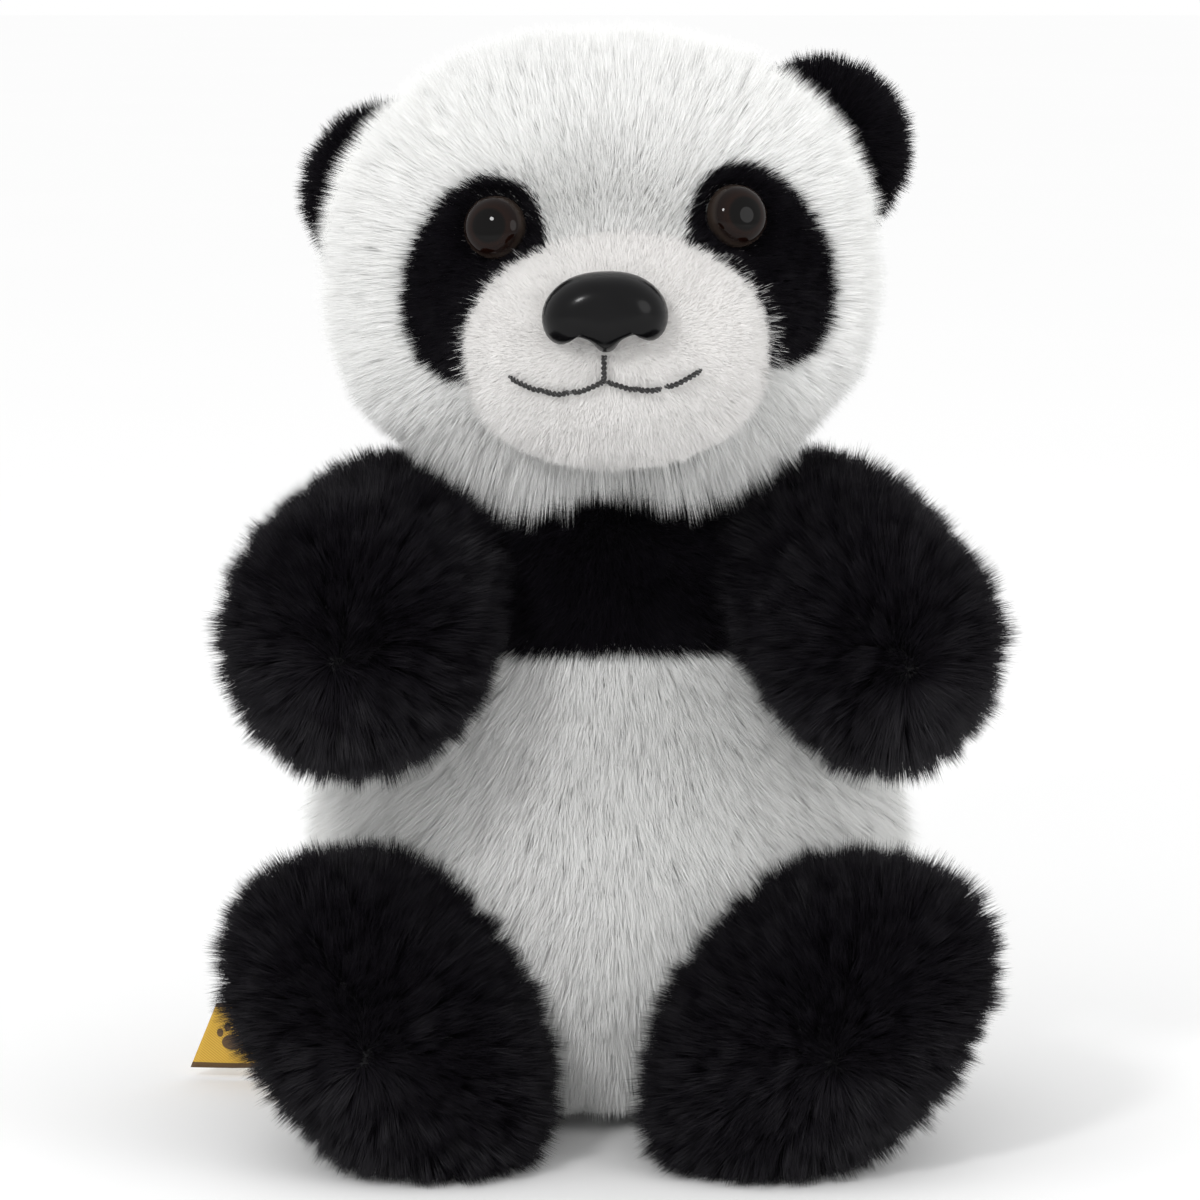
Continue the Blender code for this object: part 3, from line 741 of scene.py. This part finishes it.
def gapTo(points, others):
    gap = np.full(len(points), farAway)
    for other in others:
        tree = BVHTree.FromPolygons([v.co.copy() for v in other.data.vertices],
                                    [list(face.vertices) for face in other.data.polygons])
        for i, point in enumerate(points):
            found = tree.find_nearest(Vector(point), 0.02)
            if found[0] is not None:
                gap[i] = min(gap[i], found[3] / mm)
    return gap


def pressed(gap, least):
    return least + (1 - least) * smooth(0.5, 9, gap)


def unitRows(vectors):
    return vectors / np.maximum(np.linalg.norm(vectors, axis=1, keepdims=True), 1e-6)


# Head pile

ears = {
    "middles": {"left": (50, 6, 62), "right": (-46, 6, 56)}, "radii": Vector((16.7, 6.2, 16.7)),
    "yaw": 14, "pile": 5.5, "trim": 0.75,
}
facePile = {
    "nearMuzzle": 4.2, "far": 10.5, "back": 10.0, "muzzle": 2.1, "rim": 0.8, "lowerRim": 3.2, "patch": 5.0,
    "chin": 15.0, "chinSides": 5.0, "centre": (1, 28), "patchApart": 28.5, "patchHeight": 41,
    "patchHalf": (13.6, 20.8), "patchLean": 21, "patchWidth": 16, "shift": 3.5, "eyeApart": 24.9,
    "eyeHeight": 51.5,
}
# where each change in the face's pile starts and ends, in millimetres
fades = {
    "front": (6, -14), "cheek": (24, 56), "outer": (24, 50), "backwards": (28, 48), "chinLow": (12, 0),
    "chinFront": (2, -10), "chinMiddle": (4, 14), "chinEnds": (42, 30), "chinLean": (14, 0),
    "nearEar": (8, 0), "earPlane": (20, 13), "neckHole": (23.5, 25.5), "eyeEdge": (6.0, 9.0),
    "patchEdge": (5.8, 8.5), "rim": (6, 0.5), "lowerRim": (24, 10),
}


def fade(name, x):
    return smooth(*fades[name], x)


headSkin = skins["head"]
headPlaces = headLocal(arrayOf(headSkin.data).astype(float))
x, y, z = headPlaces.T
muzzleZone = np.where(y < -22, (1 - muzzleShare(x, z)) * muzzleWidth, -9)
patchZones = {}
eyePlaces = {}
eyeGap = np.full(len(x), farAway)
for name, side in sides.items():
    lean = math.radians(-side * facePile["patchLean"])
    aside = x - side * facePile["patchApart"] - facePile["shift"]
    above = z - facePile["patchHeight"]
    inner = aside * math.cos(lean) - above * math.sin(lean)
    upper = aside * math.sin(lean) + above * math.cos(lean)
    ring = 1 - np.hypot(inner / facePile["patchHalf"][0], upper / facePile["patchHalf"][1])
    patchZones[name] = np.minimum(np.where(y < -20, ring * facePile["patchWidth"], -9), -muzzleZone)
    place, outward = headPoint(side * facePile["eyeApart"] + facePile["shift"], facePile["eyeHeight"])
    eyePlaces[name] = (place, outward)
    eyeGap = np.minimum(eyeGap, np.linalg.norm(headPlaces - np.array(place), axis=1))
asideFace, aboveFace = x - facePile["centre"][0], z - facePile["centre"][1]
fromFace = np.hypot(asideFace, aboveFace)
outwards = unitRows(np.stack([asideFace, 0 * fromFace, aboveFace], 1))
front = fade("front", y)
faceLength = facePile["nearMuzzle"] + (facePile["far"] - facePile["nearMuzzle"]) * fade("cheek", fromFace)
headLength = facePile["back"] * (1 - front) + faceLength * front
chinRim = fade("chinLow", z) * fade("chinFront", y)
chinDrop = facePile["chin"] + facePile["chinSides"] * fade("chinMiddle", abs(x)) * fade("chinEnds", abs(x))
headLength += (chinDrop - headLength) * chinRim
for middle in ears["middles"].values():
    earGap = np.hypot(x - middle[0], z - middle[2]) - ears["radii"].x
    headLength *= 1 - ears["trim"] * fade("nearEar", earGap) * fade("earPlane", np.abs(y - 2))
headLength *= fade("neckHole", np.linalg.norm(headPlaces, axis=1)) * fade("eyeEdge", eyeGap)
headLean = outwards * ((0.55 + 0.2 * fade("outer", fromFace)) * front)[:, None]
for way, share in (((0, 0.6, -0.25), front * fade("backwards", fromFace)), ((0, 0.4, -0.4), 1 - front),
                   ((0, -0.05, -0.75), fade("chinLean", z))):
    headLean += np.array(way) * share[:, None]
headLean = headLean @ headFrame.T
faceOnly = np.minimum.reduce([head["earSeam"] - y, -muzzleZone, -patchZones["left"], -patchZones["right"]])
for name, side in sides.items():
    growPile("facePile." + name, headSkin, np.minimum(faceOnly, side * (x - 0.5)), headLength, headLean,
             "white", {}, "head", "face_panel_" + name)
growPile("headBackPile", headSkin, y - head["earSeam"], headLength, headLean, "white",
         {"Density": 9e6}, "head", "head_back_panel")
muzzleRim = fade("rim", muzzleZone)
lowerRim = muzzleRim * fade("lowerRim", z)
muzzleLength = facePile["muzzle"] + muzzleRim * facePile["rim"] + lowerRim * facePile["lowerRim"]
muzzleLean = outwards * (0.55 + 0.5 * muzzleRim)[:, None] + np.array((0, 0.35, 0))
muzzleLean = (muzzleLean + np.array((0, 0, -0.35)) * lowerRim[:, None]) @ headFrame.T
growPile("muzzlePile", headSkin, muzzleZone, muzzleLength, muzzleLean, "cream",
         {"Density": 2.6e7, "Jitter": 0.35, "Swirl": 0.25, "Tuft Pull": 0.15,
          "Fray": 0.2 * mm}, "head", "muzzle_panel")
patchLength = facePile["patch"] * fade("patchEdge", eyeGap)
patchLean = (outwards * 0.45 + np.array((0, 0, -0.2))) @ headFrame.T
for name, zone in patchZones.items():
    growPile("eyePatchPile." + name, headSkin, zone, patchLength, patchLean, "black",
             {"Density": 2.2e7, "Fray": 0.9 * mm}, "head", "eye_patch_" + name)
print("head pile grown")

# Ears

for name, side in sides.items():
    middle = Vector(ears["middles"][name])
    ear = sidedBall(Vector(), ears["radii"], 2, "ear." + name, blackKnit)
    turn = Matrix.Translation(middle) @ Matrix.Rotation(math.radians(side * ears["yaw"]), 4, "Z")
    placed(ear, headMatrix @ Matrix.Scale(mm, 4) @ turn)
    places = headLocal(arrayOf(ear.data).astype(float))
    own = (places - np.array(middle)) @ np.array(turn.to_3x3())
    earLean = unitRows(own * np.array((1, 0.2, 1))) @ np.array(turn.to_3x3()).T @ headFrame.T * 0.45
    clear = (np.linalg.norm((places - np.array(head["middle"])) / np.array(head["radii"]), axis=1) - 1) * 45
    for part, sign in (("front", -1), ("back", 1)):
        growPile(f"earPile.{name}.{part}", ear, np.minimum(sign * own[:, 1] + 0.1, clear),
                 np.full(len(own), ears["pile"]), earLean, "black", {"Density": 1.7e7}, "head",
                 f"ear_{name}_{part}")
    tell(ear, "head", "black_pile")
print("ears made")

# Torso pile

bodyPile = {"belly": 11.5, "chest": 8.5, "back": 9.5, "seat": 2.2}
torsoSkin = skins["root"]
torsoPoints = arrayOf(torsoSkin.data).astype(float)
x, y, z = (torsoPoints / mm).T
rest = pressed(gapTo(torsoPoints, [skins[name] for name in limbs]), 0.12)
arc = yokeGap(torsoPoints / mm)
down = np.array((0, 0, -1.0))
asideLean = np.stack([np.sign(x), 0 * x, 0 * x], 1) * (0.25 * smooth(0, 30, np.abs(x)))[:, None]
bellyLean = down * 0.95 + asideLean
chestLean = down * 0.55 + asideLean
nearFloor = smooth(1, 16, z)
neckClear = smooth(24, 28, np.linalg.norm((torsoPoints - np.array(neckPivot)) / mm, axis=1))
seatZone = torso["seatSeam"] - z
lower = np.minimum(arc, -seatZone)
bands = [
    ("chestPile.front", np.minimum(-y, -arc), "chest", chestLean, "black", "chest_band_front"),
    ("chestPile.back", np.minimum(y, -arc), "back", chestLean, "black", "chest_band_back"),
    ("bellyPile", np.minimum(-y, lower), "belly", bellyLean, "white", "belly_panel"),
    ("backPile.left", np.minimum.reduce([y, lower, x]), "back", bellyLean, "white", "back_panel_left"),
    ("backPile.right", np.minimum.reduce([y, lower, -x]), "back", bellyLean, "white", "back_panel_right"),
    ("seatPile", seatZone, "seat", down * 0.1 + 0 * bellyLean, "white", "seat_panel"),
]
for name, zone, kind, lean, shade, node in bands:
    length = bodyPile[kind] * rest * neckClear
    if kind != "seat":
        length = length * (0.35 + 0.65 * nearFloor)
    growPile(name, torsoSkin, zone, length, lean, shade, {"Density": 1.05e7}, "root", node)
print("torso pile grown")

# Arm and leg pile, which bursts outwards from the middle of each paw

limbPile = {"limb": 9.0, "sole": 8.0}
limbLook = {"Tuft Pull": 0.6, "Tufts": 1.1e5, "Tuft Range": 0.2}
for name in limbs:
    skin = skins[name]
    points = arrayOf(skin.data).astype(float)
    places = limbLocal(name, points)
    x, y, z = places.T
    length = limbLength(name)
    away = unitRows(places * np.array((1, 0, 1))) @ np.array(limbMatrix(name).to_3x3()).T
    gap = gapTo(points, [skins[other] for other in skins if other != name])
    isLeg = name.startswith("leg")
    long = limbPile["limb"] * pressed(gap, 0.1) * (0.7 + 0.3 * smooth(6, -8, y))
    long = long * (0.55 + 0.45 * smooth(0.5, 7, points[:, 2] / mm))
    lean = away * (0.25 + 0.5 * smooth(length - 8, length + 12, -y))[:, None] + np.array((0, 0, -0.12))
    parts = ("outer", "inner") if isLeg else ("upper", "under")
    split = x * limbs[name]["sign"] if isLeg else z
    sole = -y - length - solePlace if isLeg else np.full(len(places), -farAway)
    for part, sign in zip(parts, (1, -1)):
        growPile(f"{name}.{part}", skin, np.minimum(split * sign, -sole), long, lean, "black", limbLook,
                 name, f"{name}_{part}")
    if isLeg:
        growPile(f"{name}.sole", skin, sole, long * limbPile["sole"] / limbPile["limb"], lean, "black",
                 limbLook, name, "sole_" + name[4:])
print("limb pile grown")

# Skins under the pile

for body, skin in skins.items():
    skin.data.materials.clear()
    skin.data.materials.append(blackKnit if body in limbs else whiteKnit)
    stuffing = "torso_stuffing" if body == "root" else body + "_stuffing"
    tell(skin, body, "black_pile" if body in limbs else "white_pile", stuffing)
torsoSkin.data.materials.append(blackKnit)
inBand = np.array([yokeGap(np.array(face.center)[None] / mm)[0] < 0 for face in torsoSkin.data.polygons])
torsoSkin.data.polygons.foreach_set("material_index", inBand.astype(np.int32))
torsoSkin.data.update()

# Neck: a filled ball between head and body, with short pile round it

neckFill = {"radius": 22.4, "bandMiddle": -7, "bandHalf": 11, "pile": 6.5}
neckSkin = sidedBall(neckPivot, Vector((1, 1, 1)) * neckFill["radius"] * mm, 2, "neckSkin", blackKnit)
places = (arrayOf(neckSkin.data).astype(float) - np.array(neckPivot)) / mm
neckBand = neckFill["bandHalf"] - np.abs(places[:, 2] - neckFill["bandMiddle"])
neckLean = unitRows(places * np.array((1, 1, 0))) * 0.3 + 0.4 * down
growPile("neckPile", neckSkin, neckBand, np.full(len(places), neckFill["pile"]), neckLean, "black",
         {"Density": 9e6}, "neck")
tell(neckSkin, "neck", "filling", "neck_stuffing")
discard(strand)

# Eyes: glossy domes on a stem, dark brown round a black pupil, with a thin paler rim that is a painted
# reflection of the plastic's edge

eye = {"radius": 6.6, "dome": 5.0, "rim": 0.8, "stem": 1.9, "stemLength": 10, "steps": 14}


def eyeFinish(name, middle, axis):
    finish, graph, shader = finishGraph(name, 0.05, Coat_Weight=0.12, Coat_Roughness=0.02,
                                        Specular_IOR_Level=0.08)
    place = graph.place()
    radius = (place - tuple(middle)).cross(tuple(axis)).length() * (1 / mm / eye["radius"])
    fleck = graph.noise(place, 900.0, 3.0)
    # ring colours: black pupil, dark brown iris, and at the outer edge a paler brown-grey stop that is a
    # painted reflection of the plastic's edge
    rings = graph.node("ShaderNodeValToRGB", {"stops": [
        (0.0, (0.0008, 0.0007, 0.0007, 1)), (0.5, (0.001, 0.0008, 0.0007, 1)),
        (0.6, (0.010, 0.0035, 0.002, 1)), (0.86, (0.005, 0.0018, 0.0012, 1)),
        (0.96, (0.030, 0.022, 0.018, 1))]}, {0: radius})
    plug(graph.mixColour(fleck * 0.3, rings, (0.003, 0.0012, 0.001, 1)), shader, "Base Color")
    return finish


for name, (place, outward) in eyePlaces.items():
    middle = headMatrix @ ((place + outward * 0.4) * mm)
    axis = (headTurn @ outward.to_4d()).to_3d().normalized()
    wide, stem, deep = eye["radius"], eye["stem"], eye["stemLength"]
    profile = [(0, -deep), (stem * 0.7, -deep), (stem, 1 - deep), (stem, -0.2), (wide - 0.5, -0.1),
               (wide, 0.2), (wide + 0.1, 0.5)]
    for i in range(eye["steps"]):
        a = math.pi / 2 * i / eye["steps"]
        profile.append((wide * math.cos(a) ** 0.9, eye["rim"] + eye["dome"] * math.sin(a) ** 0.95))
    profile.append((0, eye["rim"] + eye["dome"]))
    profile = [(radius * mm, height * mm) for radius, height in profile]
    ball = turned(profile, axis, middle, eyeFinish("eyeGloss." + name, middle, axis), "eye." + name)
    tell(ball, "head", "eye_plastic", "eye_" + name)

# Nose: a moulded plastic nose with two nostril notches and a point between them

nose = {
    "middle": Vector((0.5, -77, 35)), "depth": 8.2, "sunk": 4.0, "wide": 13.2, "tall": 8.4, "steps": 12,
    "half": [(0, 8.3), (3.6, 8.1), (7.1, 7.2), (10.1, 5.3), (12.3, 2.7), (13.2, -0.4), (12.9, -3.3),
             (11.7, -5.5), (9.8, -6.7), (8.0, -6.4), (6.7, -5.0), (5.1, -4.4), (3.5, -5.2), (2.4, -7.0),
             (1.4, -8.3), (0, -8.6)],
}


def noseRings():
    side = [Vector((x, 0, z)) for x, z in nose["half"]]
    outline = side + [Vector((-point.x, 0, point.z)) for point in side[-2:0:-1]]
    sunk = Vector((0, nose["sunk"], 0))
    rings = [[sunk], [point * 0.55 + sunk for point in outline],
             [point * 0.93 + Vector((0, 1.5, 0)) for point in outline]]
    for i in range(nose["steps"]):
        a = math.pi / 2 * i / nose["steps"]
        plain = float(smooth(0.1, 0.9, i / (nose["steps"] - 1)))
        shrink = math.cos(a) ** 0.62
        lift = Vector((0, nose["depth"] * math.sin(a) ** 1.05, 0))
        ring = []
        for point in outline:
            turn = math.atan2(point.z / nose["tall"], point.x / nose["wide"])
            oval = Vector((nose["wide"] * math.cos(turn), 0, nose["tall"] * math.sin(turn)))
            ring.append(point.lerp(oval, plain) * shrink - lift)
        rings.append(ring)
    rings.append([Vector((0, -nose["depth"], 0))])
    return [[point + nose["middle"] for point in ring] for ring in rings]


noseFinish, noseGraph, noseShader, nosePlace, noseCloud = cloudedFinish(
    "noseGloss", 0.2, 160.0, (0.0015, 0.0015, 0.0018), (0.004, 0.0038, 0.0042), Coat_Weight=0.1,
    Coat_Roughness=0.1, Specular_IOR_Level=0.1)
plug(noseCloud * 0.14 + 0.16, noseShader, "Roughness")
bumped(noseGraph.noise(nosePlace, 1400.0), noseShader, 0.12, 0.1 * mm)
noseBody = rounded(placed(loft(noseRings(), noseFinish, "nose"), headMatrix @ Matrix.Scale(mm, 4)))
tell(noseBody, "head", "nose_plastic", "nose")
print("neck, eyes and nose made")

# Mouth: twisted two-ply thread in separate stitches

mouth = {
    "ply": 0.36, "twist": 3.0, "lift": 1.5, "dip": 1.6, "points": 23,
    "stem": [(0, 25.8), (-0.2, 23), (-0.3, 20.6)],
    "arm": [(0.6, 20.2), (1.6, 19.9), (5, 18.6), (10, 18), (15, 19.2), (19.6, 21.4)],
    "stitches": {"middle": [(0.05, 0.98)], "left": [(0.0, 0.30), (0.33, 0.54), (0.62, 1.0)],
                 "right": [(0.0, 0.33), (0.37, 0.62), (0.63, 1.0)]},
}


def makeThreadTree():
    tree, graph, given = newTree("twistedThread", {"Geometry": ["Path"], "Float": ["Ply", "Twist"],
                                                   "Material": ["Finish"]}, "Thread")
    ring = graph.node("GeometryNodeCurvePrimitiveCircle", {}, {"Resolution": 8, "Radius": given["Ply"]})
    aside = graph.node("ShaderNodeCombineXYZ", {}, {0: given["Ply"] * 0.85})
    plies = graph.node("GeometryNodeTransform", {}, {"Geometry": ring, "Translation": aside})
    other = graph.node("GeometryNodeTransform", {}, {"Geometry": ring, "Translation": aside * -1.0})
    both = graph.node("GeometryNodeJoinGeometry", {}, {0: plies})
    tree.links.new(other.socket, both.socket.node.inputs[0])
    travel = graph.node("GeometryNodeSplineParameter", {}, {}, "Length")
    tilt = travel * given["Twist"]
    path = graph.node("GeometryNodeSetCurveTilt", {}, {"Curve": given["Path"], "Tilt": tilt})
    thread = graph.node("GeometryNodeCurveToMesh", {}, {"Curve": path, "Profile Curve": both,
                                                        "Fill Caps": True})
    thread = graph.node("GeometryNodeSetMaterial", {}, {"Geometry": thread, "Material": given["Finish"]})
    tree.links.new(thread.socket, tree.nodes.new("NodeGroupOutput").inputs[0])
    return tree


threadTree = makeThreadTree()
threadFinish = cloudedFinish("blackThread", 0.55, 4000.0, (0.004, 0.004, 0.004), (0.014, 0.013, 0.013),
                             Sheen_Weight=0.3)[0]


def alongPath(points, share):
    # the point that is this share of the way along a broken line
    legs = [(Vector(one), Vector(two)) for one, two in zip(points, points[1:])]
    left = share * sum((two - one).length for one, two in legs)
    for one, two in legs:
        length = (two - one).length
        if left <= length or (one, two) == legs[-1]:
            return one.lerp(two, min(left / length, 1))
        left -= length


for name, stitches in mouth["stitches"].items():
    route = mouth["stem"] if name == "middle" else mouth["arm"]
    sign = -1 if name == "right" else 1
    curve = bpy.data.curves.new("mouthStitch." + name, "CURVE")
    curve.dimensions = "3D"
    for start, end in stitches:
        spline = curve.splines.new("POLY")
        spline.points.add(mouth["points"])
        for i, point in enumerate(spline.points):
            share = i / mouth["points"]
            x, z = alongPath(route, start + (end - start) * share)
            dip = mouth["dip"] * abs(2 * share - 1) ** 6
            point.co = (*(headMatrix @ (muzzlePoint(sign * x, z, mouth["lift"] - dip) * mm)), 1)
    sewn = newObject("mouthStitch." + name, curve)
    useTree(sewn, threadTree, {"Ply": mouth["ply"] * mm, "Twist": mouth["twist"] / mm,
                               "Finish": threadFinish})
    mesh = finalMesh(sewn)
    discard(sewn)
    tell(newObject("mouthStitch." + name, mesh), "head", "black_thread", "mouth_stitch_" + name)
print("mouth sewn")

# Side label: a woven yellow tag with dark hems and a plain paw print

label = {
    "corners": [(-51, 3), (-95, 2.4), (-89, 17.2), (-59.6, 17.2)], "thick": 0.6, "wave": 1.0,
    "hem": 0.9, "top": 17.2, "bottom": 2.8, "paw": (-85.5, 9.6), "columns": 30, "lines": 12,
}


def makeLabel():
    bm = bmesh.new()
    low, high, highTop, lowTop = (Vector((x, 0, z)) for x, z in label["corners"])
    rows = []
    for j in range(label["lines"] + 1):
        up = j / label["lines"]
        row = []
        for i in range(label["columns"] + 1):
            out = i / label["columns"]
            point = low.lerp(high, out).lerp(lowTop.lerp(highTop, out), up)
            point.y = label["wave"] * out * math.sin(2.2 * out * math.pi + 1.4 * up)
            row.append(bm.verts.new(point * mm))
        rows.append(row)
    for one, two in zip(rows, rows[1:]):
        for i in range(label["columns"]):
            bm.faces.new((one[i], one[i + 1], two[i + 1], two[i]))
    return bm


labelFinish, labelGraph, labelShader = finishGraph("wovenLabel", 0.55, Sheen_Weight=0.15)
labelPlace = labelGraph.place()
labelX, _, labelZ = labelPlace.parts()


def spot(x, z, wide, tall):
    across = (labelX - x * mm) * (1 / mm / wide)
    up = (labelZ - z * mm) * (1 / mm / tall)
    return across * across + up * up < 1.0


pawX, pawZ = label["paw"]
paw = spot(pawX, pawZ - 1.2, 2.3, 1.7)
for toeX, toeZ in ((-2.7, 0.9), (-1.0, 2.2), (1.0, 2.2), (2.7, 0.9)):
    paw = paw.larger(spot(pawX + toeX, pawZ + toeZ, 0.75, 0.95))
hemTop = labelZ > (label["top"] - label["hem"]) * mm
hemLow = labelZ < (label["bottom"] + label["hem"]) * mm
threads = labelGraph.node("ShaderNodeTexWave", {"wave_type": "BANDS", "bands_direction": "DIAGONAL"},
                          {"Vector": labelPlace, "Scale": 900.0, "Distortion": 0.4})
cloth = labelGraph.mixColour(threads, (0.55, 0.30, 0.015, 1), (0.76, 0.47, 0.05, 1))
marks = paw.larger(hemTop).larger(hemLow)
plug(labelGraph.mixColour(marks, cloth, (0.11, 0.055, 0.012, 1)), labelShader, "Base Color")
bumped(threads, labelShader, 0.4, 0.1 * mm)
tag = fromBmesh("sideLabel", makeLabel(), labelFinish)
applied(modified(tag, "SOLIDIFY", thickness=label["thick"] * mm, offset=0))
tell(tag, "label", "label_cloth", "side_label")

# Bean pouch inside the seat: a loose cloth bag that shows its beads

pouch = {"middle": Vector((0, 21, 14)), "radii": Vector((22, 15, 8.6)), "bead": 2.6}
pouchFinish = knitFinish("pouchCloth", (0.66, 0.64, 0.56), (0.5, 0.48, 0.41), 0.7 * mm)
bag = sidedBall(pouch["middle"] * mm, pouch["radii"] * mm, 2.4, "beanPouch", pouchFinish, 5)
for vert in bag.data.vertices:
    cell = [c / mm / pouch["bead"] for c in vert.co]
    lump = abs(math.sin(cell[0] * 2.1) * math.sin(cell[1] * 2.3) * math.sin(cell[2] * 1.9 + 0.6))
    vert.co += vert.normal * (lump * 0.6 * mm)
    vert.co.z = max(vert.co.z, 3.8 * mm)
tell(bag, "root", "pouch_cloth", "bean_pouch")

# Washers behind the eyes and nose keep their own shape

washerFinish = cloudedFinish("washerPlastic", 0.4, 400.0, (0.74, 0.74, 0.71), (0.82, 0.82, 0.80))[0]
for name in ("eye_washer_left", "eye_washer_right", "nose_washer"):
    frame["nodes"][name].material_slots[0].material = washerFinish
print("mouth, label, pouch and washers made")

# Camera, light and floor

view = {"lens": 138.5, "place": Vector((-0.002, -1.022, 0.26)), "aim": Vector((-0.002, -0.022, 0.113))}
camera = newObject("camera", bpy.data.cameras.new("camera"))
camera.data.lens = view["lens"]
camera.location = view["place"]
camera.rotation_euler = (view["aim"] - view["place"]).to_track_quat("-Z", "Y").to_euler()
scene.camera = camera

studio = {"world": 1.0, "key": 3.4, "fill": 2.0}
world = bpy.data.worlds.new("studio")
world.use_nodes = True
world.node_tree.nodes["Background"].inputs["Color"].default_value = (1, 1, 1, 1)
world.node_tree.nodes["Background"].inputs["Strength"].default_value = studio["world"]
scene.world = world


def softLight(name, place, aim, size, power):
    lamp = bpy.data.lights.new(name, "AREA")
    lamp.shape = "DISK"
    lamp.size = size
    lamp.energy = power
    made = newObject(name, lamp)
    made.location = place
    made.rotation_euler = (Vector(aim) - Vector(place)).to_track_quat("-Z", "Y").to_euler()


softLight("keyLight", (-0.45, -0.9, 0.7), (0, 0, 0.12), 0.17, studio["key"])
softLight("fillLight", (0.8, -0.7, 0.4), (0, 0, 0.12), 0.6, studio["fill"])

floorFinish = cloudedFinish("paleFloor", 0.8, 3.0, (0.97, 0.97, 0.97), (0.98, 0.98, 0.98),
                            Specular_IOR_Level=0)[0]
bm = bmesh.new()
bmesh.ops.create_grid(bm, x_segments=2, y_segments=2, size=12)
fromBmesh("floor", bm, floorFinish)
